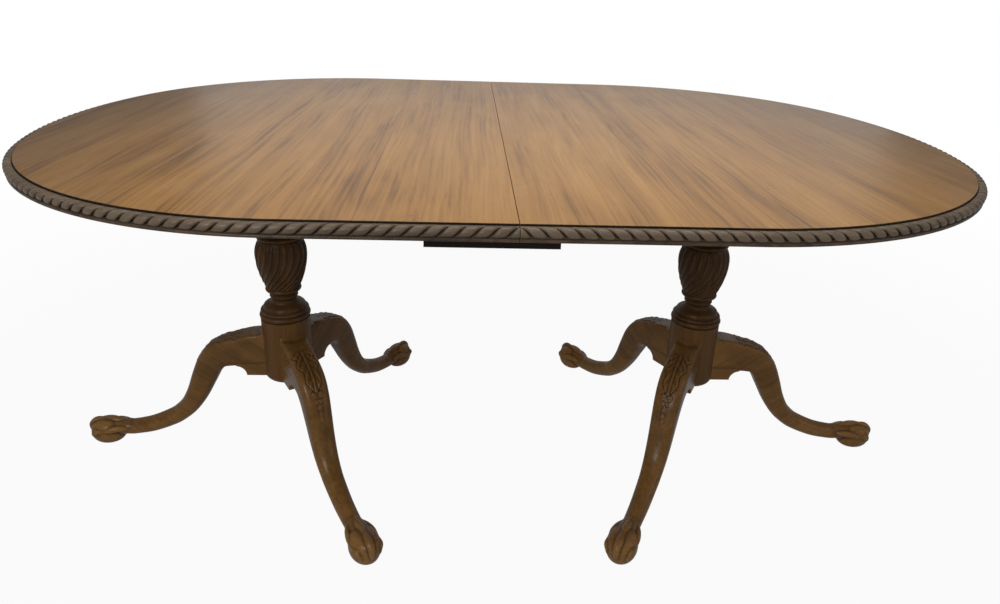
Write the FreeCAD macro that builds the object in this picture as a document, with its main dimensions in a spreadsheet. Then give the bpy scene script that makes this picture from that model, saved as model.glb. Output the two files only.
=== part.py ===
"""Double pedestal dining table whose two halves draw apart on wooden runners.

Millimetres. +Z is up, +X runs along the table to the right half and -Y is the front.
The origin is on the floor under the middle of the seam.
"""
import FreeCAD, Part
import math
import os

import Sketcher
from FreeCAD import Placement, Rotation, Vector

# Driving sizes: name, millimetres, what it measures.
SIZES = (
    ("table_height", 730, "floor to the field of the top"),
    ("top_length", 1646, "length of the closed top"),
    ("top_width", 1220, "width of the top"),
    ("corner_radius", 518, "radius of the corners in plan"),
    ("end_radius", 815, "radius of the bowed ends in plan"),
    ("panel_thickness", 20, "thickness of each half's panel"),
    ("seam_gap", 1, "gap between the closed halves"),
    ("edge_width", 13, "rope edge, panel to outside"),
    ("edge_drop", 2, "field of the top above the rope edge"),
    ("strip_height", 4, "flat strip under the rope"),
    ("strip_inset", 2, "strip set back behind the rope"),
    ("pedestal_spacing", 878, "between the pedestal axes"),
    ("hub_radius", 50.5, "hub that the legs join"),
    ("hub_bottom", 174, "floor to the underside of the hub"),
    ("hub_top", 314, "floor to the joint of hub and column"),
    ("hub_rounding", 14, "rounded lower edge of the hub"),
    ("tenon_radius", 20, "column tenons in hub and bearer"),
    ("tenon_length", 52, "column tenon in the hub"),
    ("collar_radius", 52.2, "lower bead of the collar on the hub joint"),
    ("collar_upper_radius", 50, "upper bead of the collar"),
    ("collar_height", 20.5, "two beads of the collar"),
    ("ovolo_height", 11.5, "rounded shoulder over the collar"),
    ("ovolo_radius", 36, "upper end of the shoulder"),
    ("ovolo_arc", 12, "swell of the shoulder"),
    ("cove_height", 10, "hollow from the shoulder to the neck"),
    ("cove_arc", 12, "curve of that hollow"),
    ("neck_radius", 26.5, "neck under the vase"),
    ("neck_height", 15, "neck under the vase"),
    ("bead_radius", 36.2, "bead under the vase"),
    ("bead_height", 12, "bead under the vase"),
    ("vase_foot_radius", 34, "lower end of the vase"),
    ("vase_radius", 52, "widest part of the vase"),
    ("vase_swell", 72, "vase, lower end to widest part"),
    ("vase_shoulder", 34, "vase, widest part to upper end"),
    ("vase_top_radius", 42, "upper end of the vase"),
    ("ring_radius", 44, "ring over the vase"),
    ("ring_height", 9, "ring over the vase"),
    ("shaft_foot_radius", 37, "shaft over the ring"),
    ("shaft_head_radius", 30, "shaft under the capital"),
    ("capital_radius", 46, "capital under the bearer"),
    ("capital_height", 30, "capital under the bearer"),
    ("bearer_length", 800, "bearer across the table"),
    ("bearer_width", 90, "bearer along the table"),
    ("bearer_height", 32, "bearer depth"),
    ("leg_head", 292.5, "floor to the leg's top edge at the hub"),
    ("leg_fillet", 15.5, "hollow where the leg's top meets the hub"),
    ("leg_shoulder", 277, "floor to the lower end of that hollow"),
    ("root_ease", 0.5, "root of the leg inside the sides of the knee"),
    ("bracket_height", 183, "floor to the bracket under the leg"),
    ("bracket_reach", 84, "pedestal axis to the end of the bracket"),
    ("bracket_cove", 21, "arch at the end of the bracket"),
    ("tongue_depth", 17, "dovetail tongue in the hub"),
    ("tongue_root", 18, "tongue width at the hub's face"),
    ("tongue_flare", 27, "tongue width inside the hub"),
    ("slot_overrun", 1, "dovetail slots cut past the underside of the hub"),
    ("foot_reach", 415, "pedestal axis to the bend of the front talons"),
    ("ball_radius", 28.5, "ball of the foot, across and up"),
    ("ball_length", 74, "ball of the foot, along the leg"),
    ("ball_flat", 1.5, "worn flat under the ball"),
    ("talon_sink", 3.5, "middle of the talons below the ball's face"),
    ("talon_radius", 6.5, "talons over the ball"),
    ("knuckle_radius", 7.5, "knuckles of the talons"),
    ("runner_spread", 190, "table's centre line to the middle runner"),
    ("runner_width", 24, "runners across the table"),
    ("runner_height", 44, "runners fixed to the halves"),
    ("runner_end_gap", 9, "runner ends to the bearers"),
    ("runner_wall", 20, "solid end of a middle runner past its groove"),
    ("slide_clearance", 0.5, "gap between what slides and what it slides on"),
    ("key_length", 130, "slide keys"),
    ("key_offset", 6, "slide keys to the seam"),
    ("key_height", 14, "slide keys"),
    ("key_bite", 8, "slide keys let into each runner"),
    ("tie_width", 70, "tie board along the table"),
    ("tie_thickness", 16, "tie board depth"),
    ("tie_drop", 2, "middle runners below the fixed runners"),
    ("dowel_radius", 5, "seam dowels"),
    ("dowel_length", 40, "seam dowels"),
    ("dowel_spacing", 270, "between seam dowels"),
    ("rest_setback", 62, "front of the seam rest behind the top's edge"),
    ("rest_width", 22, "seam rests across the table"),
    ("rest_height", 30, "seam rests, depth"),
    ("rest_root", 116, "seam rest under its own half"),
    ("rest_reach", 58, "seam rest under the other half"),
    ("screw_radius", 2.2, "screw shanks"),
    ("screw_head_radius", 4.5, "countersunk screw heads"),
    ("screw_head_height", 3, "countersunk screw heads"),
    ("screw_tip", 4, "screw points"),
    ("screw_bite", 13, "screws in the panel"),
)

# Cross-sections along the middle of a leg: name, reach from the pedestal axis, height of the
# middle, depth across the curve and width from side to side.
LEG_SECTIONS = (
    ("knee_back", 94, 237, 67.5, 56),
    ("knee_crown", 139, 226.5, 60, 56),
    ("knee_brow", 163, 204, 56, 54),
    ("shin_upper", 181, 169, 52.5, 51),
    ("shin_middle", 199, 130, 46.5, 48),
    ("shin_lower", 219, 98, 41, 45),
    ("ankle_bend", 240, 77, 38, 42),
    ("ankle_upper", 262, 62.5, 37, 40),
    ("ankle", 305, 44.5, 35.5, 37),
    ("ankle_lower", 346, 36, 33.5, 34.5),
    ("foot_root", 366, 36, 34.5, 36.5),
    ("foot_web", 395, 37, 40.5, 47),
    ("foot_front", 432, 36.5, 38, 43),
)
SECTION_SIZES = ("reach", "height", "depth", "width")

# Places worked out from the driving sizes.
LAYOUT = (
    ("underside", "sizes.table_height - sizes.panel_thickness"),
    ("half_gap", "sizes.seam_gap / 2"),
    ("half_width", "sizes.top_width / 2"),
    ("corner", "min(sizes.corner_radius; 0.97 * half_width)"),
    ("end_centre", "sizes.top_length / 2 - sizes.end_radius"),
    ("corner_in", "half_width - corner"),
    ("centre_gap", "sizes.end_radius - corner"),
    ("corner_run", "sqrt(centre_gap^2 - corner_in^2)"),
    ("straight", "end_centre + corner_run"),
    ("field_width", "half_width - sizes.edge_width"),
    ("field_corner", "corner - sizes.edge_width"),
    ("field_end", "sizes.end_radius - sizes.edge_width"),
    ("join_x", "end_centre + field_end * corner_run / centre_gap"),
    ("join_y", "field_end * corner_in / centre_gap"),
    ("rope_top", "sizes.panel_thickness - sizes.edge_drop"),
    ("rope_radius", "(rope_top - sizes.strip_height) / 2"),
    ("pedestal", "sizes.pedestal_spacing / 2"),
    ("bearer_bottom", "underside - sizes.bearer_height"),
    ("collar_top", "sizes.hub_top + sizes.collar_height"),
    ("ovolo_top", "collar_top + sizes.ovolo_height"),
    ("neck_bottom", "ovolo_top + sizes.cove_height"),
    ("neck_top", "neck_bottom + sizes.neck_height"),
    ("vase_bottom", "neck_top + sizes.bead_height"),
    ("vase_middle", "vase_bottom + sizes.vase_swell"),
    ("vase_top", "vase_middle + sizes.vase_shoulder"),
    ("ring_top", "vase_top + sizes.ring_height"),
    ("capital_bottom", "bearer_bottom - sizes.capital_height"),
    ("swell_in", "sizes.vase_radius - sizes.vase_foot_radius"),
    ("shoulder_in", "sizes.vase_radius - sizes.vase_top_radius"),
    ("swell_arc", "(swell_in^2 + sizes.vase_swell^2) / (2 * swell_in)"),
    ("shoulder_arc", "(shoulder_in^2 + sizes.vase_shoulder^2) / (2 * shoulder_in)"),
    ("capital_flare", "sizes.capital_radius - sizes.shaft_head_radius"),
    ("capital_arc", "(capital_flare^2 + sizes.capital_height^2) / (2 * capital_flare)"),
    ("runner_end", "pedestal - sizes.bearer_width / 2 - sizes.runner_end_gap"),
    ("runner_bottom", "underside - sizes.runner_height"),
    ("lane", "sizes.runner_width + sizes.slide_clearance"),
    ("middle_top", "underside - sizes.slide_clearance"),
    ("middle_bottom", "runner_bottom - sizes.tie_drop"),
    ("tie_bottom", "middle_bottom - sizes.tie_thickness"),
    ("key_middle", "underside - sizes.runner_height / 2"),
    ("ball_height", "sizes.ball_radius - sizes.ball_flat"),
    ("ball_middle", "sizes.foot_reach + sizes.ball_radius - sizes.ball_length / 2"),
    ("heel_reach", "sizes.foot_reach + 2 * sizes.ball_radius - sizes.ball_length"),
    ("talon_path", "sizes.ball_radius - sizes.talon_sink"),
    ("dowel_height", "underside + sizes.panel_thickness / 2"),
    ("rest_front", "half_width - sizes.rest_setback"),
)

LEG_TURNS = {"outer": 0, "rear": 120, "front": 240}
SECTION_ROUNDING = 0.42
TALON_TURNS = {"front": 0, "side": 65, "heel": 180, "far_side": 295}
TALON_LOW, TALON_HIGH = -22, 100
NAIL_LOW, NAIL_LAP = -52, 1
KNUCKLE_ANGLE = 34
DOWEL_ROWS = (-1.5, -0.5, 0.5, 1.5)
BEARER_SCREW_ROWS = (-0.44, -0.2, 0.2, 0.44)
RUNNER_SCREW_ROWS = (0.12, 0.5, 0.88)
RUNNER_ROWS = {"front": -1, "rear": 1}

doc = FreeCAD.newDocument("double_pedestal_table")
sizes = doc.addObject("Spreadsheet::Sheet", "sizes")
layout = doc.addObject("Spreadsheet::Sheet", "layout")


def fill_sheets():
    """Writes the driving sizes as plain numbers and the places as formulas."""
    rows = [(name, size, words) for name, size, words in SIZES]
    for name, *values in LEG_SECTIONS:
        for kind, size in zip(SECTION_SIZES, values):
            rows.append((f"{name}_{kind}", size, f"leg section, {kind}"))
    for row, (name, size, words) in enumerate(rows, start=1):
        sizes.set(f"A{row}", words)
        sizes.set(f"B{row}", str(size))
        sizes.setAlias(f"B{row}", name)
    for row, (name, formula) in enumerate(LAYOUT, start=1):
        layout.set(f"B{row}", "=" + formula)
        layout.setAlias(f"B{row}", name)
    doc.recompute()


def value(expression):
    """The number that an expression on the sheets stands for."""
    return float(sizes.evalExpression(expression))


def bind(piece, **expressions):
    """Ties properties to expressions; a double underscore stands for a dot."""
    for name, expression in expressions.items():
        piece.setExpression(name.replace("__", "."), expression)
    return piece


def place(piece, x="0", y="0", z="0"):
    """Ties a piece's position to expressions."""
    return bind(piece, Placement__Base__x=x, Placement__Base__y=y, Placement__Base__z=z)


def linked(name, piece, turn=0, x="0", y="0", z="0"):
    """Another copy of a piece, turned about the vertical and moved."""
    copy = doc.addObject("App::Link", name)
    copy.LinkedObject = piece
    copy.Placement = Placement(Vector(), Rotation(Vector(0, 0, 1), turn))
    return place(copy, x, y, z)


def body_sketch(body, name, plane, offset="0"):
    """A sketch on one of the body's own planes, lifted off it along its normal."""
    sketch = body.newObject("Sketcher::SketchObject", name)
    support = [item for item in body.Origin.OriginFeatures if item.Role == plane]
    sketch.AttachmentSupport = [(support[0], "")]
    sketch.MapMode = "FlatFace"
    return bind(sketch, AttachmentOffset__Base__z=offset)


def arc_between(start, end, radius, turn):
    """The short arc from start to end, turning left where turn is 1 and right where it is -1."""
    chord = end - start
    half = chord.Length / 2
    side = Vector(-chord.y, chord.x, 0).normalize()
    reach = math.sqrt(max(radius ** 2 - half ** 2, 0))
    centre = (start + end) / 2 + side * (reach * turn)
    first, last = (start, end) if turn > 0 else (end, start)
    from_angle = math.atan2(first.y - centre.y, first.x - centre.x)
    to_angle = math.atan2(last.y - centre.y, last.x - centre.x)
    if to_angle < from_angle:
        to_angle += 2 * math.pi
    circle = Part.Circle(centre, Vector(0, 0, 1), max(radius, half))
    return Part.ArcOfCircle(circle, from_angle, to_angle)


def draw(sketch, steps, closed=True):
    """Draws an outline through steps (across, up) or (across, up, radius, turn), as expressions.

    The stretch that arrives at a step with a radius is an arc. An open outline starts at its
    first step.
    """
    points = [Vector(value(step[0]), value(step[1]), 0) for step in steps]
    ends = []
    first = 0 if closed else 1
    for index in range(first, len(steps)):
        step = steps[index]
        if len(step) == 2:
            geometry = sketch.addGeometry(Part.LineSegment(points[index - 1], points[index]))
            ends.append((geometry, 1, 2))
            continue
        radius, turn = step[2:]
        arc = arc_between(points[index - 1], points[index], value(radius), turn)
        geometry = sketch.addGeometry(arc)
        ends.append((geometry, 1, 2) if turn > 0 else (geometry, 2, 1))
        tie(sketch, Sketcher.Constraint("Radius", geometry, value(radius)), radius)
    for index, (geometry, start, end) in enumerate(ends):
        if index or closed:
            before = ends[index - 1]
            sketch.addConstraint(Sketcher.Constraint("Coincident", before[0], before[2], geometry, start))
        pin_point(sketch, geometry, end, steps[index + first])
    if not closed:
        pin_point(sketch, ends[0][0], ends[0][1], steps[0])


def tie(sketch, constraint, expression):
    """Adds a constraint whose size is an expression."""
    index = sketch.addConstraint(constraint)
    sketch.setExpression(f"Constraints[{index}]", expression)


def pin_point(sketch, geometry, end, step):
    """Ties one end of a stretch to its two coordinates."""
    for kind, expression in zip(("DistanceX", "DistanceY"), step):
        tie(sketch, Sketcher.Constraint(kind, -1, 1, geometry, end, value(expression)), expression)


def pad(body, sketch, length, midplane=False):
    """Pads a sketch; a midplane pad grows both ways."""
    feature = body.newObject("PartDesign::Pad", sketch.Name + "_pad")
    feature.Profile = sketch
    feature.Midplane = midplane
    return bind(feature, Length=length)


def turned(name, steps):
    """A body turned about the vertical from a profile of (radius, height) steps."""
    body = doc.addObject("PartDesign::Body", name)
    sketch = body_sketch(body, name + "_profile", "XZ_Plane")
    draw(sketch, steps)
    feature = body.newObject("PartDesign::Revolution", name + "_turning")
    feature.Profile = sketch
    feature.ReferenceAxis = (sketch, ["V_Axis"])
    feature.Angle = 360
    return body


def box(name, x, y, z, length, width, height):
    """A board from its low corner and its three sizes."""
    board = doc.addObject("Part::Box", name)
    bind(board, Length=length, Width=width, Height=height)
    return place(board, x, y, z)


def cylinder(name, radius, height, x="0", y="0", z="0"):
    """An upright cylinder from the middle of its lower end."""
    rod = doc.addObject("Part::Cylinder", name)
    bind(rod, Radius=radius, Height=height)
    return place(rod, x, y, z)


def group(name, pieces):
    """Separate pieces under one name."""
    together = doc.addObject("Part::Compound", name)
    together.Links = pieces
    return together


def fused(name, pieces):
    """Pieces joined into one solid."""
    joined = doc.addObject("Part::MultiFuse", name)
    joined.Shapes = pieces
    joined.Refine = False
    return joined


def cut(name, base, tools):
    """A piece less its cuts."""
    result = doc.addObject("Part::Cut", name)
    result.Base = base
    result.Tool = tools[0] if len(tools) == 1 else group(name + "_cuts", tools)
    result.Refine = False
    return result


def field_outline():
    """The right half's field in plan, from the front of the seam round its end to the back."""
    return [
        ("layout.half_gap", "-layout.field_width"),
        ("layout.straight", "-layout.field_width"),
        ("layout.join_x", "-layout.join_y", "layout.field_corner", 1),
        ("layout.join_x", "layout.join_y", "layout.field_end", 1),
        ("layout.straight", "layout.field_width", "layout.field_corner", 1),
        ("layout.half_gap", "layout.field_width"),
    ]


def make_field():
    """One half's panel before its holes, at the right."""
    body = doc.addObject("PartDesign::Body", "field")
    sketch = body_sketch(body, "field_plan", "XY_Plane")
    draw(sketch, field_outline())
    pad(body, sketch, "sizes.panel_thickness")
    return place(body, z="layout.underside")


def make_rope_edge():
    """The bead that frames one half, over its flat strip, run along the field's edge."""
    body = doc.addObject("PartDesign::Body", "rope_edge_right")
    path = body_sketch(body, "rope_path", "XY_Plane")
    draw(path, field_outline(), closed=False)
    section = body_sketch(body, "rope_section", "YZ_Plane", "layout.half_gap")
    inside = "-layout.field_width"
    bead = f"{inside} - sizes.edge_width + layout.rope_radius"
    strip = f"{inside} - sizes.edge_width + sizes.strip_inset"
    draw(section, [
        (inside, "0"),
        (inside, "layout.rope_top"),
        (bead, "layout.rope_top"),
        (bead + " - layout.rope_radius", "layout.rope_top - layout.rope_radius", "layout.rope_radius", 1),
        (bead, "sizes.strip_height", "layout.rope_radius", 1),
        (strip, "sizes.strip_height"),
        (strip, "0"),
    ])
    run = body.newObject("PartDesign::AdditivePipe", "rope_run")
    run.Profile = section
    run.Spine = path
    return place(body, z="layout.underside")


def make_column():
    """The turned column: tenon, collar, shoulder, neck, bead, vase, ring, shaft, capital, tenon."""
    bead_arc = "sizes.bead_height / 2"
    bead_in = "(sizes.bead_radius - sizes.bead_height / 2)"
    ring_arc = "sizes.ring_height / 2"
    ring_in = "(sizes.ring_radius - sizes.ring_height / 2)"
    collar_arc = "sizes.collar_height / 4"
    collar_in = f"(sizes.collar_radius - {collar_arc})"
    upper_in = f"(sizes.collar_upper_radius - {collar_arc})"
    column = turned("column_right", [
        ("0", "sizes.hub_top - sizes.tenon_length"),
        ("sizes.tenon_radius", "sizes.hub_top - sizes.tenon_length"),
        ("sizes.tenon_radius", "sizes.hub_top"),
        (collar_in, "sizes.hub_top"),
        ("sizes.collar_radius", f"sizes.hub_top + {collar_arc}", collar_arc, 1),
        (collar_in, f"sizes.hub_top + 2 * {collar_arc}", collar_arc, 1),
        (upper_in, f"sizes.hub_top + 2 * {collar_arc}"),
        ("sizes.collar_upper_radius", f"sizes.hub_top + 3 * {collar_arc}", collar_arc, 1),
        (upper_in, "layout.collar_top", collar_arc, 1),
        ("sizes.ovolo_radius", "layout.ovolo_top", "sizes.ovolo_arc", 1),
        ("sizes.neck_radius", "layout.neck_bottom", "sizes.cove_arc", -1),
        ("sizes.neck_radius", "layout.neck_top"),
        (bead_in, "layout.neck_top"),
        ("sizes.bead_radius", f"layout.neck_top + {bead_arc}", bead_arc, 1),
        (bead_in, "layout.vase_bottom", bead_arc, 1),
        ("sizes.vase_foot_radius", "layout.vase_bottom"),
        ("sizes.vase_radius", "layout.vase_middle", "layout.swell_arc", 1),
        ("sizes.vase_top_radius", "layout.vase_top", "layout.shoulder_arc", 1),
        (ring_in, "layout.vase_top"),
        ("sizes.ring_radius", f"layout.vase_top + {ring_arc}", ring_arc, 1),
        (ring_in, "layout.ring_top", ring_arc, 1),
        ("sizes.shaft_foot_radius", "layout.ring_top"),
        ("sizes.shaft_head_radius", "layout.capital_bottom"),
        ("sizes.capital_radius", "layout.bearer_bottom", "layout.capital_arc", -1),
        ("sizes.tenon_radius", "layout.bearer_bottom"),
        ("sizes.tenon_radius", "layout.underside"),
        ("0", "layout.underside"),
    ])
    return place(column, x="layout.pedestal")


def dovetail(name, bottom, top):
    """A dovetail prism on the hub's face towards +X, wider inside the hub."""
    body = doc.addObject("PartDesign::Body", name)
    sketch = body_sketch(body, name + "_plan", "XY_Plane", bottom)
    face = "sizes.hub_radius + sizes.tongue_depth / 4"
    inside = "sizes.hub_radius - sizes.tongue_depth"
    draw(sketch, [
        (inside, "-sizes.tongue_flare / 2"),
        (face, "-sizes.tongue_root / 2"),
        (face, "sizes.tongue_root / 2"),
        (inside, "sizes.tongue_flare / 2"),
    ])
    pad(body, sketch, f"{top} - ({bottom})")
    return body


def make_hub():
    """The hub, mortised for the column and slotted from below for three legs."""
    rounding = "sizes.hub_rounding"
    blank = turned("hub_blank", [
        ("0", "sizes.hub_bottom"),
        (f"sizes.hub_radius - {rounding}", "sizes.hub_bottom"),
        ("sizes.hub_radius", f"sizes.hub_bottom + {rounding}", rounding, 1),
        ("sizes.hub_radius", "sizes.hub_top"),
        ("sizes.tenon_radius", "sizes.hub_top"),
        ("sizes.tenon_radius", "sizes.hub_top - sizes.tenon_length"),
        ("0", "sizes.hub_top - sizes.tenon_length"),
    ])
    slot = dovetail("hub_slot", "sizes.hub_bottom - sizes.slot_overrun", "sizes.leg_head - sizes.tongue_depth")
    slots = [linked(f"hub_slot_{name}", slot, turn) for name, turn in LEG_TURNS.items()]
    return place(cut("hub_right", blank, slots), x="layout.pedestal")


def leg_block():
    """The leg's straight root with the bracket under it, drawn from the side."""
    body = doc.addObject("PartDesign::Body", "leg_block")
    sketch = body_sketch(body, "leg_block_side", "XZ_Plane")
    inside = "sizes.hub_radius / 2"
    end = "sizes.bracket_reach + sizes.bracket_cove"
    draw(sketch, [
        (inside, "sizes.bracket_height"),
        ("sizes.bracket_reach", "sizes.bracket_height"),
        (end, "sizes.bracket_height + sizes.bracket_cove", "sizes.bracket_cove", -1),
        (end, "sizes.knee_back_height + sizes.knee_back_depth / 2"),
        ("sizes.hub_radius + sizes.leg_fillet", "sizes.leg_shoulder"),
        ("sizes.hub_radius", "sizes.leg_head", "sizes.leg_fillet", -1),
        (inside, "sizes.leg_head"),
    ])
    pad(body, sketch, "sizes.knee_back_width - 2 * sizes.root_ease", midplane=True)
    return body


def leg_section(index):
    """One rounded cross-section of the leg, square to the line through its neighbours."""
    name = LEG_SECTIONS[index][0]
    before = LEG_SECTIONS[max(index - 1, 0)][0]
    after = LEG_SECTIONS[min(index + 1, len(LEG_SECTIONS) - 1)][0]
    sketch = doc.addObject("Sketcher::SketchObject", "leg_" + name)
    across, up = f"sizes.{name}_width / 2", f"sizes.{name}_depth / 2"
    corner = f"{SECTION_ROUNDING} * min(sizes.{name}_width; sizes.{name}_depth)"
    steps = []
    for right, top in ((1, -1), (1, 1), (-1, 1), (-1, -1)):
        side = (f"{right} * ({across})", f"{top} * ({up} - {corner})")
        flat = (f"{right} * ({across} - {corner})", f"{top} * ({up})")
        pair = (flat, side) if right * top < 0 else (side, flat)
        steps.append(pair[0])
        steps.append(pair[1] + (corner, 1))
    draw(sketch, steps)
    fall = f"sizes.{before}_height - sizes.{after}_height"
    run = f"sizes.{after}_reach - sizes.{before}_reach"
    spot = f"create(<<vector>>; sizes.{name}_reach; 0; sizes.{name}_height)"
    turn = f"create(<<rotation>>; 90; 0; 90 + atan2({fall}; {run}) / 1 deg)"
    sketch.setExpression("Placement", f"create(<<placement>>; {spot}; {turn})")
    return sketch


def talon_pieces(name, azimuth, reach):
    """One talon over the ball: a bent toe with a knuckle, and its narrower nail."""
    def bent(part, radius, low, high):
        toe = doc.addObject("Part::Torus", f"{name}_{part}")
        toe.Angle3 = high - low
        bind(toe, Radius1="layout.talon_path", Radius2=radius)
        stand = Rotation(Vector(1, 0, 0), 90).multiply(Rotation(Vector(0, 0, 1), low))
        toe.Placement = Placement(Vector(), Rotation(Vector(0, 0, 1), azimuth).multiply(stand))
        return place(toe, x=reach, z="layout.ball_height")

    level, lift = math.cos(math.radians(KNUCKLE_ANGLE)), math.sin(math.radians(KNUCKLE_ANGLE))
    ahead, aside = math.cos(math.radians(azimuth)), math.sin(math.radians(azimuth))
    knuckle = doc.addObject("Part::Sphere", name + "_knuckle")
    bind(knuckle, Radius="sizes.knuckle_radius")
    place(knuckle, f"{reach} + layout.talon_path * {level * ahead:.6f}",
          f"layout.talon_path * {level * aside:.6f}",
          f"layout.ball_height + layout.talon_path * {lift:.6f}")
    toe = bent("toe", "sizes.talon_radius", TALON_LOW, TALON_HIGH)
    nail = bent("nail", "sizes.talon_radius / 2", NAIL_LOW, TALON_LOW + NAIL_LAP)
    return [toe, nail, knuckle]


def make_leg():
    """A cabriole leg towards +X from its own pedestal axis, ending in a claw-and-ball foot."""
    curve = doc.addObject("Part::Loft", "leg_curve")
    curve.Sections = [leg_section(index) for index in range(len(LEG_SECTIONS))]
    curve.Solid = True
    ball = doc.addObject("Part::Ellipsoid", "leg_ball")
    bind(ball, Radius1="sizes.ball_radius", Radius2="sizes.ball_length / 2", Radius3="sizes.ball_radius")
    place(ball, x="layout.ball_middle", z="layout.ball_height")
    talons = []
    for spot, azimuth in TALON_TURNS.items():
        reach = "layout.heel_reach" if spot == "heel" else "sizes.foot_reach"
        talons += talon_pieces(f"talon_{spot}", azimuth, reach)
    rough = fused("leg_rough", [leg_block(), curve, ball] + talons)
    hub_space = cylinder("leg_hub_space", "sizes.hub_radius", "sizes.hub_top")
    span = "2 * (sizes.foot_reach + sizes.ball_radius)"
    floor = box("leg_floor", f"-({span}) / 2", f"-({span}) / 2", "-sizes.ball_radius",
                span, span, "sizes.ball_radius")
    shaped = cut("leg_shaped", rough, [hub_space, floor])
    tongue = dovetail("leg_tongue", "sizes.bracket_height", "sizes.leg_head - sizes.tongue_depth")
    return fused("leg", [shaped, tongue])


def screw(name, length):
    """A countersunk wood screw, head down, from the origin upwards."""
    shank = f"{length} - sizes.screw_tip"
    return turned(name, [
        ("0", "0"),
        ("sizes.screw_head_radius", "0"),
        ("sizes.screw_radius", "sizes.screw_head_height"),
        ("sizes.screw_radius", shank),
        ("0", length),
    ])


def screw_group(name, pattern, spots):
    """Copies of one screw at (x, y, z) spots, under one name."""
    copies = [linked(f"{name}_{number}", pattern, 0, *spot) for number, spot in enumerate(spots, start=1)]
    return group(name, copies)


def make_bearer(screws):
    """The right bearer, bored for the column's tenon and its own screws."""
    board = box("bearer_board", "layout.pedestal - sizes.bearer_width / 2", "-sizes.bearer_length / 2",
                "layout.bearer_bottom", "sizes.bearer_width", "sizes.bearer_length", "sizes.bearer_height")
    bore = cylinder("bearer_bore", "sizes.tenon_radius", "sizes.bearer_height",
                    x="layout.pedestal", z="layout.bearer_bottom")
    return cut("bearer_right", board, [bore, screws])


def runner_lane(side, row):
    """Middle of a fixed runner across the table: left ones inside, right ones outside."""
    step = "+ layout.lane" if side == "right" else "- layout.lane"
    return f"{row} * (sizes.runner_spread {step})"


def runner_face(side, row):
    """Middle of the gap between a fixed runner and the middle runner beside it."""
    step = "+" if side == "right" else "-"
    return f"{row} * (sizes.runner_spread {step} layout.lane / 2)"


def runner_start(side, offset, length):
    """Low end in x of something that starts at an offset from the seam on its own side."""
    return f"{offset}" if side == "right" else f"-({offset}) - ({length})"


def make_fixed_runner(side, name, row, keys, screws):
    """A runner screwed under one half, grooved for its slide key."""
    length = "layout.runner_end - layout.half_gap"
    board = box(f"{name}_board", runner_start(side, "layout.half_gap", length),
                f"{runner_lane(side, row)} - sizes.runner_width / 2", "layout.runner_bottom",
                length, "sizes.runner_width", "sizes.runner_height")
    return cut(name, board, [keys, screws])


def make_keys(side):
    """The two slide keys of one half, let into its runners and standing into the middle ones."""
    start = runner_start(side, "sizes.key_offset", "sizes.key_length")
    bars = []
    for end, row in RUNNER_ROWS.items():
        low = f"{runner_face(side, row)} - sizes.key_bite"
        bars.append(box(f"key_{side}_{end}", start, low, "layout.key_middle - sizes.key_height / 2",
                        "sizes.key_length", "2 * sizes.key_bite", "sizes.key_height"))
    return group(f"slide_keys_{side}", bars)


def groove(name, side, row):
    """The stopped groove in a middle runner that one slide key travels in."""
    clear = "sizes.slide_clearance"
    length = f"layout.runner_end - sizes.runner_wall - sizes.key_offset + {clear}"
    deep = f"(sizes.key_bite + {clear})"
    return box(name, runner_start(side, f"(sizes.key_offset - {clear})", length),
               f"{runner_face(side, row)} - {deep}", f"layout.key_middle - sizes.key_height / 2 - {clear}",
               length, f"2 * {deep}", f"sizes.key_height + 2 * {clear}")


def make_middle_runner(end, row, screws):
    """A sliding middle runner, grooved on both sides."""
    board = box(f"middle_{end}_board", "-layout.runner_end",
                f"{row} * sizes.runner_spread - sizes.runner_width / 2", "layout.middle_bottom",
                "2 * layout.runner_end", "sizes.runner_width", "layout.middle_top - layout.middle_bottom")
    grooves = [groove(f"groove_{side}_{end}", side, row) for side in ("left", "right")]
    return cut(f"runner_middle_{end}", board, grooves + [screws])


def make_tie(screws):
    """The board that joins the two middle runners from below."""
    board = box("tie_board", "-sizes.tie_width / 2", "-sizes.runner_spread - sizes.runner_width / 2",
                "layout.tie_bottom", "sizes.tie_width", "2 * sizes.runner_spread + sizes.runner_width",
                "sizes.tie_thickness")
    return cut("runner_tie", board, [screws])


def make_rest(end, row, screws):
    """A bar under the left half that reaches under the right half at the seam."""
    low = "-layout.rest_front" if row < 0 else "layout.rest_front - sizes.rest_width"
    bottom = "layout.underside - sizes.rest_height"
    root = box(f"rest_{end}_root", "-layout.half_gap - sizes.rest_root", low, bottom,
               "sizes.rest_root", "sizes.rest_width", "sizes.rest_height")
    reach = box(f"rest_{end}_reach", "-layout.half_gap", low, bottom, "sizes.rest_reach",
                "sizes.rest_width", "sizes.rest_height - sizes.slide_clearance")
    return cut(f"seam_rest_{end}", fused(f"rest_{end}_bar", [root, reach]), [screws])


def make_dowels(name, radius, length):
    """Rods across the seam, level with the middle of the panels."""
    rods = []
    for number, row in enumerate(DOWEL_ROWS, start=1):
        rod = cylinder(f"{name}_{number}", radius, length, x=f"-({length}) / 2",
                       y=f"{row} * sizes.dowel_spacing", z="layout.dowel_height")
        rod.Placement = Placement(rod.Placement.Base, Rotation(Vector(0, 1, 0), 90))
        rods.append(rod)
    return group(name, rods)


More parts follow.
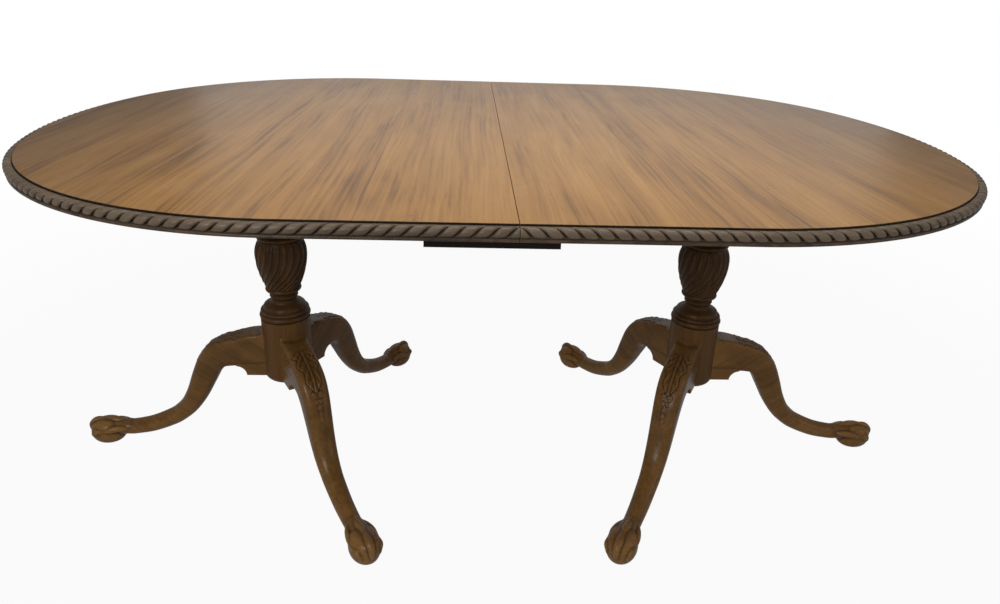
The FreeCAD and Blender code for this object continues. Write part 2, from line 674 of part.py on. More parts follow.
def build():
    """Makes every piece and returns the finished ones."""
    fill_sheets()
    field = make_field()
    rope_edge = make_rope_edge()
    column = make_column()
    hub = make_hub()
    leg = make_leg()

    bearer_screw = screw("bearer_screw", "sizes.bearer_height + sizes.screw_bite")
    runner_screw = screw("runner_screw", "sizes.runner_height + sizes.screw_bite")
    tie_screw = screw("tie_screw", "sizes.tie_thickness + sizes.screw_bite")
    rest_screw = screw("rest_screw", "sizes.rest_height + sizes.screw_bite")

    bearer_screws = screw_group("bearer_screws_right", bearer_screw, [
        ("layout.pedestal", f"{row} * sizes.bearer_length", "layout.bearer_bottom")
        for row in BEARER_SCREW_ROWS])
    bearer = make_bearer(bearer_screws)
    pieces = [rope_edge, column, hub, bearer, bearer_screws]
    left_bearer_screws = linked("bearer_screws_left", bearer_screws, 180)
    pieces += [
        linked("rope_edge_left", rope_edge, 180, z="layout.underside"),
        linked("column_left", column, 180, x="-layout.pedestal"),
        linked("hub_left", hub, 180, x="-layout.pedestal"),
        linked("bearer_left", bearer, 180),
        left_bearer_screws,
    ]

    for side, sign, base_turn in (("right", "", 0), ("left", "-", 180)):
        for spot, turn in LEG_TURNS.items():
            mirror_spot = {"front": "rear", "rear": "front"}.get(spot, spot)
            name = f"leg_{side}_{spot if side == 'right' else mirror_spot}"
            pieces.append(linked(name, leg, turn + base_turn, x=f"{sign}layout.pedestal"))

    runner_screws = {}
    for side, sign in (("left", "-"), ("right", "")):
        spots = [(f"{sign}{share} * layout.runner_end", runner_lane(side, row), "layout.runner_bottom")
                 for row in (-1, 1) for share in RUNNER_SCREW_ROWS]
        runner_screws[side] = screw_group(f"runner_screws_{side}", runner_screw, spots)
        keys = make_keys(side)
        pieces += [runner_screws[side], keys]
        for end, row in RUNNER_ROWS.items():
            pieces.append(make_fixed_runner(side, f"runner_{side}_{end}", row, keys, runner_screws[side]))

    tie_screws = screw_group("tie_screws", tie_screw, [
        (f"{step} * sizes.tie_width / 4", f"{row} * sizes.runner_spread", "layout.tie_bottom")
        for row in (-1, 1) for step in (-1, 1)])
    pieces += [tie_screws, make_tie(tie_screws)]
    pieces += [make_middle_runner(end, row, tie_screws) for end, row in RUNNER_ROWS.items()]

    rest_line = "(layout.rest_front - sizes.rest_width / 2)"
    rest_screws = screw_group("rest_screws", rest_screw, [
        (f"-layout.half_gap - {share} * sizes.rest_root", f"{row} * {rest_line}",
         "layout.underside - sizes.rest_height")
        for row in (-1, 1) for share in (0.25, 0.75)])
    pieces.append(rest_screws)
    pieces += [make_rest(end, row, rest_screws) for end, row in RUNNER_ROWS.items()]

    dowels = make_dowels("seam_dowels", "sizes.dowel_radius", "sizes.dowel_length")
    sockets = make_dowels("dowel_sockets", "sizes.dowel_radius + sizes.slide_clearance",
                          "sizes.dowel_length + 2 * sizes.slide_clearance")
    pieces.append(dowels)
    pieces.append(cut("top_right", field, [bearer_screws, runner_screws["right"], sockets]))
    left_field = linked("left_field", field, 180, z="layout.underside")
    pieces.append(cut("top_left", left_field,
                      [left_bearer_screws, runner_screws["left"], rest_screws, dowels]))
    return pieces


def check(pieces):
    """Stops if any object failed, or any finished piece is empty or broken."""
    for item in doc.Objects:
        if {"Invalid", "Error"} & set(item.State):
            raise RuntimeError(f"{item.Name} failed: {item.State}")
    for piece in pieces:
        if piece.Shape.isNull() or not piece.Shape.isValid() or not piece.Shape.Solids:
            raise RuntimeError(f"{piece.Name} has no sound shape")


def write(pieces):
    """Writes each finished piece to its own file."""
    os.makedirs("parts", exist_ok=True)
    for piece in pieces:
        piece.Label = piece.Name
        piece.Shape.exportStep(f"parts/{piece.Label}.step")


finished = build()
doc.recompute()
check(finished)
write(finished)
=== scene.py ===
"""Double pedestal dining table: carved edges, fluted columns, claw feet and finishes.

Metres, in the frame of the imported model: +X along the table, -Y to the front, +Z up.
"""

import math

import bmesh
import bpy
import numpy as np
from mathutils import Matrix, Vector


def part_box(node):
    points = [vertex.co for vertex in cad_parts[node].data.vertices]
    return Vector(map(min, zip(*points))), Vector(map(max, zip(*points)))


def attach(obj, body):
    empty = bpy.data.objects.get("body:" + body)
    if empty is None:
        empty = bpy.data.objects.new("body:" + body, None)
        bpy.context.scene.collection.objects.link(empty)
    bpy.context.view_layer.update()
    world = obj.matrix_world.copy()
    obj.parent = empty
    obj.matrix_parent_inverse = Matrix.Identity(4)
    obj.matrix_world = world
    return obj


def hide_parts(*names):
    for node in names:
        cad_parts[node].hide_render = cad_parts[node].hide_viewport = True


bl_info = {
    "name": "Double Pedestal Table",
    "version": (1, 0, 0),
    "blender": (4, 5, 0),
    "location": "3D View > Sidebar > Table",
    "description": "Builds the carved pieces and the finishes of a double pedestal dining table",
    "category": "Object",
}

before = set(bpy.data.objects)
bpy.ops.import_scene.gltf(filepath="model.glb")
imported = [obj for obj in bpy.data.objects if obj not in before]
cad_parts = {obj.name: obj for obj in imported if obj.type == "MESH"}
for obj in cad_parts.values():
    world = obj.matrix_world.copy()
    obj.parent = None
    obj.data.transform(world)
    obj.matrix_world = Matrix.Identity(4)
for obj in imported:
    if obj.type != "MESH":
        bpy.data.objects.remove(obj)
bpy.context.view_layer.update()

FIELD_LOW, FIELD_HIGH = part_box("top_right")
EDGE_LOW, EDGE_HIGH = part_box("rope_edge_right")
HUB_LOW, HUB_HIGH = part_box("hub_right")

SIDES = {"left": -1, "right": 1}
LEG_TURNS = {"outer": 0.0, "rear": 120.0, "front": 240.0}
PEDESTAL_REACH = (HUB_LOW.x + HUB_HIGH.x) / 2
# The least width that a distance is divided by.
HAIR = 1e-4

# Turns that bring the grain of a piece along the X of its texture.
LENGTHWISE = (0.0, 0.0, 0.0)
CROSSWISE = (0.0, 0.0, math.pi / 2)
UPRIGHT = (0.0, math.pi / 2, 0.0)

# Fixed finishes: where the dark, middle and light tones of a wood stand, how much its polish
# mirrors, the dust on it, the tarnish on steel, and how far the grain shifts between pieces.
TONE_STOPS = (0.05, 0.5, 0.95)
WOOD_GLOSS, VENEER_GLOSS = 0.15, 0.14
DUST = (0.45, 0.40, 0.35, 1.0)
PALE_DUST = (0.6, 0.55, 0.5, 1.0)
TARNISH = (0.075, 0.050, 0.035, 1.0)
WHITE = (1.0, 1.0, 1.0, 1.0)
PIECE_SHIFT = (7.0, 3.0, 5.0)

# Veneer of the top: how far from the middle of a leaf its joint shows, how far from the seam the
# ends of the top darken with painted shade for their darker reflection, and how far the grain
# shifts with chance and from leaf to leaf.
JOINT_START, JOINT_FULL = 0.4965, 0.4985
END_SHADE_START, END_SHADE_FULL = 0.42, 0.82
CHANCE_SHIFT, LEAF_SHIFT = 9.0, 0.73

# Cross-sections along the middle of a leg: reach from the pedestal axis, height of the middle,
# depth across the curve, width from side to side, squareness (2 is an ellipse).
LEG_SECTIONS = (
    (0.030, 0.2440, 0.0700, 0.0560, 8.0),
    (0.067, 0.2412, 0.0718, 0.0560, 8.0),
    (0.094, 0.2370, 0.0675, 0.0560, 6.5),
    (0.139, 0.2265, 0.0600, 0.0560, 4.6),
    (0.163, 0.2040, 0.0560, 0.0540, 3.8),
    (0.181, 0.1690, 0.0525, 0.0510, 3.1),
    (0.199, 0.1300, 0.0465, 0.0480, 2.6),
    (0.219, 0.0980, 0.0410, 0.0450, 2.3),
    (0.240, 0.0770, 0.0380, 0.0420, 2.1),
    (0.262, 0.0625, 0.0370, 0.0400, 2.0),
    (0.305, 0.0445, 0.0350, 0.0370, 2.0),
    (0.346, 0.0360, 0.0335, 0.0345, 2.0),
    (0.362, 0.0358, 0.0340, 0.0355, 2.0),
    (0.376, 0.0362, 0.0360, 0.0395, 2.0),
    (0.392, 0.0365, 0.0365, 0.0420, 2.1),
    (0.412, 0.0360, 0.0350, 0.0420, 2.2),
    (0.429, 0.0345, 0.0310, 0.0370, 2.2),
    (0.438, 0.0335, 0.0200, 0.0260, 2.1),
)

# Turned outline of a column under and over its vase: radius, height over the hub, and swell of
# the stretch that leads to the point.
LOWER_OUTLINE = (
    (0.0465, 0.0002, 0.0),
    (0.0465, 0.0022, 0.0),
    (0.0502, 0.0030, 0.0),
    (0.0502, 0.0118, 0.0020),
    (0.0478, 0.0126, 0.0),
    (0.0478, 0.0138, 0.0),
    (0.0488, 0.0144, 0.0),
    (0.0470, 0.0205, 0.0017),
    (0.0444, 0.0210, 0.0),
    (0.0440, 0.0224, 0.0),
    (0.0362, 0.0322, 0.0024),
    (0.0342, 0.0330, 0.0),
    (0.0266, 0.0420, -0.0024),
    (0.0262, 0.0470, 0.0),
    (0.0282, 0.0478, 0.0),
    (0.0282, 0.0512, 0.0008),
    (0.0266, 0.0520, 0.0),
    (0.0340, 0.0605, -0.0020),
    (0.0352, 0.0615, 0.0),
    (0.0352, 0.0680, 0.0014),
    (0.0342, 0.0690, 0.0),
)
UPPER_OUTLINE = (
    (0.0425, 0.1750, 0.0),
    (0.0440, 0.1760, 0.0),
    (0.0440, 0.1825, 0.0024),
    (0.0395, 0.1840, 0.0),
    (0.0370, 0.1910, -0.0016),
    (0.0300, 0.3340, 0.0),
    (0.0325, 0.3350, 0.0),
    (0.0325, 0.3410, 0.0016),
    (0.0305, 0.3420, 0.0),
    (0.0460, 0.3632, -0.0040),
    (0.0460, 0.3640, 0.0),
)

# Middle line of the toes, from the ankle to the tip of the nail: reach from the pedestal axis,
# distance aside, height, and radius of the toe.
FRONT_TOE = (
    (0.354, 0.0, 0.0440, 0.0045),
    (0.374, 0.0, 0.0500, 0.0068),
    (0.391, 0.0, 0.0522, 0.0080),
    (0.409, 0.0, 0.0520, 0.0067),
    (0.4285, 0.0, 0.0505, 0.0081),
    (0.4398, 0.0, 0.0425, 0.0069),
    (0.4420, 0.0, 0.0345, 0.0059),
    (0.4412, 0.0, 0.0275, 0.0046),
    (0.4392, 0.0, 0.0215, 0.0022),
)
SIDE_TOE = (
    (0.354, 0.0105, 0.0380, 0.0045),
    (0.374, 0.0178, 0.0395, 0.0066),
    (0.392, 0.0212, 0.0385, 0.0076),
    (0.408, 0.0226, 0.0352, 0.0058),
    (0.424, 0.0210, 0.0338, 0.0078),
    (0.4310, 0.0185, 0.0280, 0.0056),
    (0.4318, 0.0176, 0.0220, 0.0040),
    (0.4300, 0.0168, 0.0175, 0.0016),
)
HEEL_TOE = (
    (0.3620, 0.0, 0.0265, 0.0045),
    (0.3685, 0.0, 0.0225, 0.0048),
    (0.3725, 0.0, 0.0175, 0.0036),
    (0.3765, 0.0, 0.0130, 0.0014),
)


def length_property(name, description, default):
    """A length that the panel shows in the scene's unit."""
    return bpy.props.FloatProperty(name=name, description=description, default=default, unit="LENGTH")


def colour_property(name, description, default):
    """A colour that the panel shows as a swatch."""
    return bpy.props.FloatVectorProperty(
        name=name, description=description, default=default, size=3, min=0.0, max=1.0,
        subtype="COLOR")


class TopSizes(bpy.types.PropertyGroup):
    """Sizes of the two halves of the top and of the rope carved round them."""

    half_length: length_property("Half length", "Seam to the end of the top", EDGE_HIGH.x)
    half_width: length_property("Half width", "Centre line to the front of the top", EDGE_HIGH.y)
    corner_radius: length_property("Corner radius", "Radius of the corners in plan", 0.518)
    end_radius: length_property("End radius", "Radius of the bowed ends in plan", 0.815)
    seam: length_property("Seam", "Middle of the table to the edge of a half", FIELD_LOW.x)
    edge_width: length_property(
        "Edge width", "Field to the outside of the rope edge", EDGE_HIGH.x - FIELD_HIGH.x)
    arris: length_property("Arris", "Eased edge of the field", 0.0006)
    strip_height: length_property("Strip height", "Flat strip under the rope", 0.004)
    strip_inset: length_property("Strip inset", "Strip set back behind the rope", 0.002)
    strand_pitch: length_property("Strand pitch", "One strand of the rope to the next", 0.0204)
    strand_lean: bpy.props.FloatProperty(
        name="Strand lean", description="Run of a strand along the edge for its height",
        default=0.58)
    groove_depth: length_property("Groove depth", "Cut between two strands", 0.0043)


class ColumnSizes(bpy.types.PropertyGroup):
    """Sizes of the fluted vase of a column."""

    vase_foot: length_property("Vase foot", "Height of the lower end of the vase", HUB_HIGH.z + 0.069)
    vase_belly: length_property(
        "Vase belly", "Height of the widest part of the vase", HUB_HIGH.z + 0.141)
    vase_head: length_property("Vase head", "Height of the upper end of the vase", HUB_HIGH.z + 0.175)
    foot_radius: length_property("Foot radius", "Radius of the lower end of the vase", 0.0345)
    belly_radius: length_property("Belly radius", "Radius of the widest part of the vase", 0.0520)
    head_radius: length_property("Head radius", "Radius of the upper end of the vase", 0.0425)
    flutes: bpy.props.IntProperty(
        name="Flutes", description="Number of flutes round the vase", default=22, min=3)
    flute_depth: length_property("Flute depth", "Depth of a flute at the belly", 0.0030)
    flute_twist: bpy.props.FloatProperty(
        name="Flute twist", description="Turn of a flute from head to foot",
        default=math.radians(64.0), subtype="ANGLE")


class LegSizes(bpy.types.PropertyGroup):
    """Sizes of the carved legs."""

    bracket_height: length_property("Bracket height", "Floor to the bracket under the leg", 0.183)
    bracket_reach: length_property("Bracket reach", "Pedestal axis to the end of the bracket", 0.084)
    bracket_cove: length_property("Bracket cove", "Arch at the end of the bracket", 0.021)
    head_height: length_property("Head height", "Floor to the leg's top edge at the hub", 0.2925)
    head_hollow: length_property("Head hollow", "Hollow where the leg's top meets the hub", 0.0155)
    ball_reach: length_property("Ball reach", "Pedestal axis to the middle of the ball", 0.4065)
    ball_radius: length_property("Ball radius", "Ball of the foot, across and up", 0.0285)
    ball_length: length_property("Ball length", "Ball of the foot, along the leg", 0.0740)
    relief: length_property("Leaf relief", "Depth of the carving on the knee", 0.0011)
    carving_step: length_property("Carving step", "Size of the faces before carving", 0.0011)
    faces_kept: bpy.props.FloatProperty(
        name="Faces kept", description="Share of the carved faces that are kept",
        default=0.38, min=0.05, max=1.0, subtype="FACTOR")


class Finishes(bpy.types.PropertyGroup):
    """Colours of the stained and polished woods."""

    veneer_dark: colour_property("Veneer dark", "Dark streaks of the top", (0.128, 0.056, 0.013))
    veneer: colour_property("Veneer", "Ground colour of the top", (0.338, 0.160, 0.037))
    veneer_light: colour_property("Veneer light", "Light bands of the top", (0.455, 0.232, 0.060))
    hub: colour_property("Hub", "Stained wood of the hubs", (0.107, 0.0500, 0.0145))
    # The column colour is darker than the legs' wood, partly as painted shade from the top.
    column: colour_property("Column", "Stained wood of the columns", (0.062, 0.0277, 0.0070))
    # The legs' colour at the feet; further up it is darkened by painted shade.
    leg: colour_property("Leg", "Stained wood of the legs, at the feet", (0.246, 0.1215, 0.0350))
    # The grey in the edge colour is painted sheen laid over the stained wood.
    edge: colour_property("Edge", "Stained wood of the rope edges", (0.128, 0.094, 0.064))
    worn: colour_property("Worn edge", "Rubbed arrises of the carving", (0.250, 0.145, 0.072))
    # Near black of the old polish in the hollows; it is also the painted shade laid in creases, grooves
    # and cuts.
    recess: colour_property("Recess", "Old polish in the hollows", (0.009, 0.006, 0.004))
    runner: colour_property("Runner", "Plain wood under the top", (0.240, 0.140, 0.066))
    steel: colour_property("Steel", "Screw heads", (0.330, 0.320, 0.300))


PROPERTY_GROUPS = {
    "table_top": TopSizes,
    "table_column": ColumnSizes,
    "table_leg": LegSizes,
    "table_finish": Finishes,
}


def sizes(name):
    """One of the table's property groups, on the current scene."""
    return getattr(bpy.context.scene, name)


# Shader nodes

def add_node(tree, kind, inputs=None, **settings):
    """A shader node with its settings made and its inputs filled or linked."""
    node = tree.nodes.new("ShaderNode" + kind)
    for name, setting in settings.items():
        setattr(node, name, setting)
    for name, content in (inputs or {}).items():
        if isinstance(content, bpy.types.NodeSocket):
            tree.links.new(content, node.inputs[name])
        else:
            node.inputs[name].default_value = content
    return node


def maths(tree, operation, first, second=0.0, clamped=False):
    """The output of a Math node."""
    node = add_node(tree, "Math", {0: first, 1: second}, operation=operation, use_clamp=clamped)
    return node.outputs[0]


def scaled(tree, vector, factors):
    """A vector times three factors."""
    node = add_node(tree, "VectorMath", {0: vector, 1: factors}, operation="MULTIPLY")
    return node.outputs[0]


def between(tree, content, low, high, low_out=0.0, high_out=1.0):
    """A value moved from one range to another and kept inside it."""
    node = add_node(tree, "MapRange", {
        "Value": content, "From Min": low, "From Max": high,
        "To Min": low_out, "To Max": high_out})
    return node.outputs["Result"]


def mixed(tree, share, first, second, blend="MIX"):
    """Two colours mixed by a share."""
    node = add_node(tree, "Mix", {0: share, 6: first, 7: second},
                    data_type="RGBA", blend_type=blend)
    return node.outputs[2]


def tinted(tree, colour, mask, share, tint):
    """A colour with a share of a tint laid over it where a mask is full."""
    return mixed(tree, maths(tree, "MULTIPLY", mask, share), colour, tint)


def new_group(name, inputs, outputs):
    """An empty shader node group with named sockets."""
    group = bpy.data.node_groups.new(name, "ShaderNodeTree")
    for label, kind, default in inputs:
        socket = group.interface.new_socket(label, in_out="INPUT", socket_type="NodeSocket" + kind)
        if default is not None:
            socket.default_value = default
    for label, kind in outputs:
        group.interface.new_socket(label, in_out="OUTPUT", socket_type="NodeSocket" + kind)
    start = group.nodes.new("NodeGroupInput")
    end = group.nodes.new("NodeGroupOutput")
    return group, start.outputs, end.inputs


def wood_grain_group():
    """Bands, streaks and pores that run along the X of the coordinates."""
    group, given, made = new_group(
        "wood_grain",
        [("Coordinates", "Vector", None), ("Band Width", "Float", 0.04),
         ("Wander", "Float", 0.012), ("Stretch", "Float", 0.05)],
        [("Bands", "Float"), ("Streaks", "Float"), ("Pores", "Float"), ("Height", "Float")])
    drift = add_node(group, "TexNoise", {
        "Vector": scaled(group, given["Coordinates"], (1.6, 5.0, 5.0)), "Scale": 1.0, "Detail": 2.0})
    centred = add_node(group, "VectorMath", {0: drift.outputs["Color"], 1: (0.5, 0.5, 0.5)},
                       operation="SUBTRACT")
    swing = add_node(group, "VectorMath", {0: centred.outputs[0], "Scale": given["Wander"]},
                     operation="SCALE")
    wandering = add_node(group, "VectorMath", {0: given["Coordinates"], 1: swing.outputs[0]},
                         operation="ADD")
    stretch = add_node(group, "CombineXYZ", {"X": given["Stretch"], "Y": 1.0, "Z": 1.0})
    drawn = scaled(group, wandering.outputs[0], stretch.outputs[0])
    band_scale = maths(group, "DIVIDE", 1.0, given["Band Width"])
    bands = add_node(group, "TexNoise", {
        "Vector": drawn, "Scale": band_scale, "Detail": 3.0, "Roughness": 0.5})
    streaks = add_node(group, "TexNoise", {
        "Vector": scaled(group, drawn, (0.5, 1.0, 1.0)), "Scale": 170.0, "Detail": 4.0,
        "Roughness": 0.62})
    pores = add_node(group, "TexNoise", {
        "Vector": scaled(group, drawn, (1.6, 1.0, 1.0)), "Scale": 900.0, "Detail": 1.0})
    pore_mask = between(group, pores.outputs["Fac"], 0.60, 0.74)
    ridges = maths(group, "MULTIPLY", streaks.outputs["Fac"], 0.35)
    height = maths(group, "SUBTRACT", ridges, maths(group, "MULTIPLY", pore_mask, 0.6))
    links = {
        "Bands": between(group, bands.outputs["Fac"], 0.28, 0.72),
        "Streaks": between(group, streaks.outputs["Fac"], 0.30, 0.70),
        "Pores": pore_mask,
        "Height": height,
    }
    for name, socket in links.items():
        group.links.new(socket, made[name])
    return group


def carved_wear_group():
    """Masks for rubbed arrises and for hollows on closely meshed carving."""
    group, given, made = new_group(
        "carved_wear",
        [("Coordinates", "Vector", None), ("Width", "Float", 0.05)],
        [("Wear", "Float"), ("Recess", "Float")])
    bend = add_node(group, "NewGeometry").outputs["Pointiness"]
    patches = add_node(group, "TexNoise", {
        "Vector": given["Coordinates"], "Scale": 60.0, "Detail": 3.0}).outputs["Fac"]
    high = maths(group, "ADD", 0.505, given["Width"])
    low = maths(group, "SUBTRACT", 0.495, given["Width"])
    wear = add_node(group, "MapRange", {"Value": bend, "From Min": 0.505, "From Max": high})
    recess = add_node(group, "MapRange", {"Value": bend, "From Min": 0.495, "From Max": low})
    broken = between(group, patches, 0.35, 0.62)
    group.links.new(maths(group, "MULTIPLY", wear.outputs["Result"], broken), made["Wear"])
    group.links.new(recess.outputs["Result"], made["Recess"])
    return group


def edge_wear_group():
    """A mask for rubbed edges on plain faces, found from the rounding of the normal."""
    group, given, made = new_group(
        "edge_wear",
        [("Coordinates", "Vector", None), ("Radius", "Float", 0.0016)],
        [("Wear", "Float")])
    rounded = add_node(group, "Bevel", {"Radius": given["Radius"]}, samples=4)
    plain = add_node(group, "NewGeometry").outputs["Normal"]
    facing = add_node(group, "VectorMath", {0: rounded.outputs["Normal"], 1: plain},
                      operation="DOT_PRODUCT")
    patches = add_node(group, "TexNoise", {
        "Vector": given["Coordinates"], "Scale": 45.0, "Detail": 3.0}).outputs["Fac"]
    edge = between(group, facing.outputs["Value"], 0.995, 0.90)
    group.links.new(maths(group, "MULTIPLY", edge, between(group, patches, 0.35, 0.65)), made["Wear"])
    return group


def polish_group():
    """Uneven gloss of a rubbed finish, and the dust that lies on faces turned up."""
    group, given, made = new_group(
        "hand_polish",
        [("Coordinates", "Vector", None), ("Roughness", "Float", 0.35), ("Spread", "Float", 0.12)],
        [("Roughness", "Float"), ("Dust", "Float")])
    clouds = add_node(group, "TexNoise", {
        "Vector": given["Coordinates"], "Scale": 9.0, "Detail": 5.0, "Roughness": 0.6})
    rubs = add_node(group, "TexNoise", {
        "Vector": given["Coordinates"], "Scale": 130.0, "Detail": 2.0})
    uneven = maths(group, "ADD", maths(group, "MULTIPLY", clouds.outputs["Fac"], 0.75),
                   maths(group, "MULTIPLY", rubs.outputs["Fac"], 0.25))
    swing = maths(group, "MULTIPLY", maths(group, "SUBTRACT", uneven, 0.5), given["Spread"])
    normal = add_node(group, "NewGeometry").outputs["Normal"]
    up = add_node(group, "SeparateXYZ", {0: normal}).outputs["Z"]
    group.links.new(maths(group, "ADD", given["Roughness"], swing), made["Roughness"])
    group.links.new(maths(group, "MULTIPLY", between(group, up, 0.5, 1.0),
                          between(group, clouds.outputs["Fac"], 0.45, 0.75)), made["Dust"])
    return group


GROUP_MAKERS = {
    "wood_grain": wood_grain_group,
    "carved_wear": carved_wear_group,
    "edge_wear": edge_wear_group,
    "hand_polish": polish_group,
}


def use_group(tree, name, inputs):
    """The outputs of a shared node group placed in a material."""
    group = bpy.data.node_groups.get(name) or GROUP_MAKERS[name]()
    return add_node(tree, "Group", inputs, node_tree=group).outputs


def new_material(name):
    """A material that holds only its Principled BSDF."""
    material = bpy.data.materials.new(name)
    material.use_nodes = True
    return material, material.node_tree, material.node_tree.nodes["Principled BSDF"]


def opaque(colour):
    """A colour property as a socket value."""
    return (*colour, 1.0)


def ramp(tree, share, stops):
    """A colour ramp over a share."""
    node = add_node(tree, "ValToRGB", {"Fac": share})
    elements = node.color_ramp.elements
    while len(elements) < len(stops):
        elements.new(0.5)
    for element, (position, colour) in zip(elements, stops):
        element.position = position
        element.color = colour
    return node.outputs["Color"]


def bump(tree, height, depth, strength=1.0):
    """A normal from a height."""
    node = add_node(tree, "Bump", {"Height": height, "Distance": depth, "Strength": strength})
    return node.outputs["Normal"]


def turned_coordinates(tree, turn, shifted=True):
    """Object coordinates turned so that the grain runs along X, and shifted from piece to piece."""
    place = add_node(tree, "TexCoord").outputs["Object"]
    node = add_node(tree, "Mapping", {"Vector": place, "Rotation": turn})
    if not shifted:
        return node.outputs["Vector"]
    chance = add_node(tree, "ObjectInfo").outputs["Random"]
    shift = add_node(tree, "CombineXYZ", {
        axis: maths(tree, "MULTIPLY", chance, reach) for axis, reach in zip("XYZ", PIECE_SHIFT)})
    moved = add_node(tree, "VectorMath", {0: node.outputs["Vector"], 1: shift.outputs[0]},
                     operation="ADD")
    return moved.outputs[0]


def stained_wood(tree, coordinates, figure, tones, pores):
    """Colour and height of a stained wood with bands, streaks and pores.

    The figure gives the width of a band, how far it wanders, and how short it is drawn.
    """
    labels = ("Band Width", "Wander", "Stretch")
    grain = use_group(tree, "wood_grain", {"Coordinates": coordinates, **dict(zip(labels, figure))})
    tone = maths(tree, "ADD", maths(tree, "MULTIPLY", grain["Bands"], 0.5),
                 maths(tree, "MULTIPLY", grain["Streaks"], 0.5), clamped=True)
    colour = ramp(tree, tone, tuple(zip(TONE_STOPS, tones)))
    return tinted(tree, colour, grain["Pores"], pores, tones[0]), grain["Height"]


def finish_surface(tree, shader, colour, roughness, normal):
    """Links the colour, the roughness and the normal of a material to its shader."""
    for name, socket in (("Base Color", colour), ("Roughness", roughness), ("Normal", normal)):
        tree.links.new(socket, shader.inputs[name])


def veneer_material(side, leaf_width, end_shade):
    """Polished veneer of one half, laid in leaves across the table with the grain front to back.

    The end shade is the share of the colour that is left at the end of the top, a painted shade for the
    darker reflection there.
    """
    finish = sizes("table_finish")
    material, tree, shader = new_material("top_veneer_" + side)
    flat = turned_coordinates(tree, CROSSWISE, shifted=False)
    across = add_node(tree, "SeparateXYZ", {0: flat}).outputs["Y"]
    counted = maths(tree, "DIVIDE", across, leaf_width)
    leaf = maths(tree, "FLOOR", counted)
    chance = add_node(tree, "TexWhiteNoise", {"W": leaf}, noise_dimensions="1D").outputs["Value"]
    shift = add_node(tree, "CombineXYZ", {
        "X": maths(tree, "MULTIPLY", chance, CHANCE_SHIFT), "Y": 0.0,
        "Z": maths(tree, "MULTIPLY", leaf, LEAF_SHIFT)})
    coordinates = add_node(tree, "VectorMath", {0: flat, 1: shift.outputs[0]}, operation="ADD").outputs[0]
    grain = use_group(tree, "wood_grain", {
        "Coordinates": coordinates, "Band Width": 0.040, "Wander": 0.034, "Stretch": 0.030})
    clouds = add_node(tree, "TexNoise", {
        "Vector": scaled(tree, coordinates, (3.2, 15.0, 15.0)), "Scale": 1.0, "Detail": 3.0,
        "Distortion": 0.8}).outputs["Fac"]
    figure = between(tree, clouds, 0.32, 0.68)
    tone = maths(tree, "MULTIPLY", grain["Bands"], 0.34)
    for part, share in ((grain["Streaks"], 0.44), (figure, 0.26), (chance, 0.12)):
        tone = maths(tree, "ADD", tone, maths(tree, "MULTIPLY", part, share))
    tone = maths(tree, "SUBTRACT", tone, 0.05, clamped=True)
    colour = ramp(tree, tone, (
        (0.08, opaque(finish.veneer_dark)),
        (0.46, opaque(finish.veneer)),
        (0.88, opaque(finish.veneer_light))))
    colour = tinted(tree, colour, grain["Pores"], 0.22, opaque(finish.veneer_dark))
    place = maths(tree, "FRACT", counted)
    joint = between(tree, maths(tree, "ABSOLUTE", maths(tree, "SUBTRACT", place, 0.5)),
                    JOINT_START, JOINT_FULL)
    colour = tinted(tree, colour, joint, 0.55, opaque(finish.veneer_dark))
    # Painted shade: the ends of the top are darkened to stand for their darker reflection.
    painted_end_shade = between(tree, maths(tree, "ABSOLUTE", across), END_SHADE_START, END_SHADE_FULL, 1.0, end_shade)
    colour = mixed(tree, 1.0, colour, painted_end_shade, "MULTIPLY")
    polish = use_group(tree, "hand_polish", {
        "Coordinates": flat, "Roughness": 0.30, "Spread": 0.16})
    colour = tinted(tree, colour, polish["Dust"], 0.05, PALE_DUST)
    finish_surface(tree, shader, colour, polish["Roughness"], bump(tree, grain["Height"], 0.00012, 0.5))
    shader.inputs["Specular IOR Level"].default_value = VENEER_GLOSS
    return material


def carved_material(name, turn, tones, roughness, wear=0.5, depth=0.85, painted_height_shade=None, hollow=None):
    """Dark stained hardwood for closely meshed carving and turning, rubbed on its arrises.

    A painted height shade gives two heights and the share of the colour left at the second, a
    painted shade that falls with height. A hollow gives the depths under the skin where painted
    shade starts and where it is full, and its share. The hollows found from the bend of the skin
    darken toward the recess colour, as old polish and painted shade.
    """
    finish = sizes("table_finish")
    material, tree, shader = new_material(name)
    coordinates = turned_coordinates(tree, turn)
    colour, height = stained_wood(tree, coordinates, (0.030, 0.010, 0.06), tones, 0.35)
    # Painted shade: the colour darkens with height, standing for the shade under the top or under the
    # rope.
    if painted_height_shade:
        full, least, left = painted_height_shade
        place = add_node(tree, "TexCoord").outputs["Object"]
        level = add_node(tree, "SeparateXYZ", {0: place}).outputs["Z"]
        colour = mixed(tree, 1.0, colour, between(tree, level, full, least, 1.0, left), "MULTIPLY")
    # Painted shade in creases, grooves and cuts, deeper the further a point lies under the skin.
    if hollow:
        start, full, share = hollow
        under = add_node(tree, "Attribute", attribute_name="hollow").outputs["Fac"]
        colour = mixed(tree, between(tree, under, start, full, 0.0, share), colour, opaque(finish.recess))
    rubbed = use_group(tree, "carved_wear", {"Coordinates": coordinates, "Width": 0.07})
    colour = tinted(tree, colour, rubbed["Wear"], wear, opaque(finish.worn))
    # Hollows of the carving darken toward the recess colour: old polish and painted shade.
    colour = tinted(tree, colour, rubbed["Recess"], depth, opaque(finish.recess))
    polish = use_group(tree, "hand_polish", {
        "Coordinates": coordinates, "Roughness": roughness, "Spread": 0.22})
    colour = tinted(tree, colour, polish["Dust"], 0.04, DUST)
    dull = maths(tree, "ADD", polish["Roughness"], maths(tree, "MULTIPLY", rubbed["Recess"], 0.25))
    finish_surface(tree, shader, colour, dull, bump(tree, height, 0.00025, 0.6))
    shader.inputs["Specular IOR Level"].default_value = WOOD_GLOSS
    return material


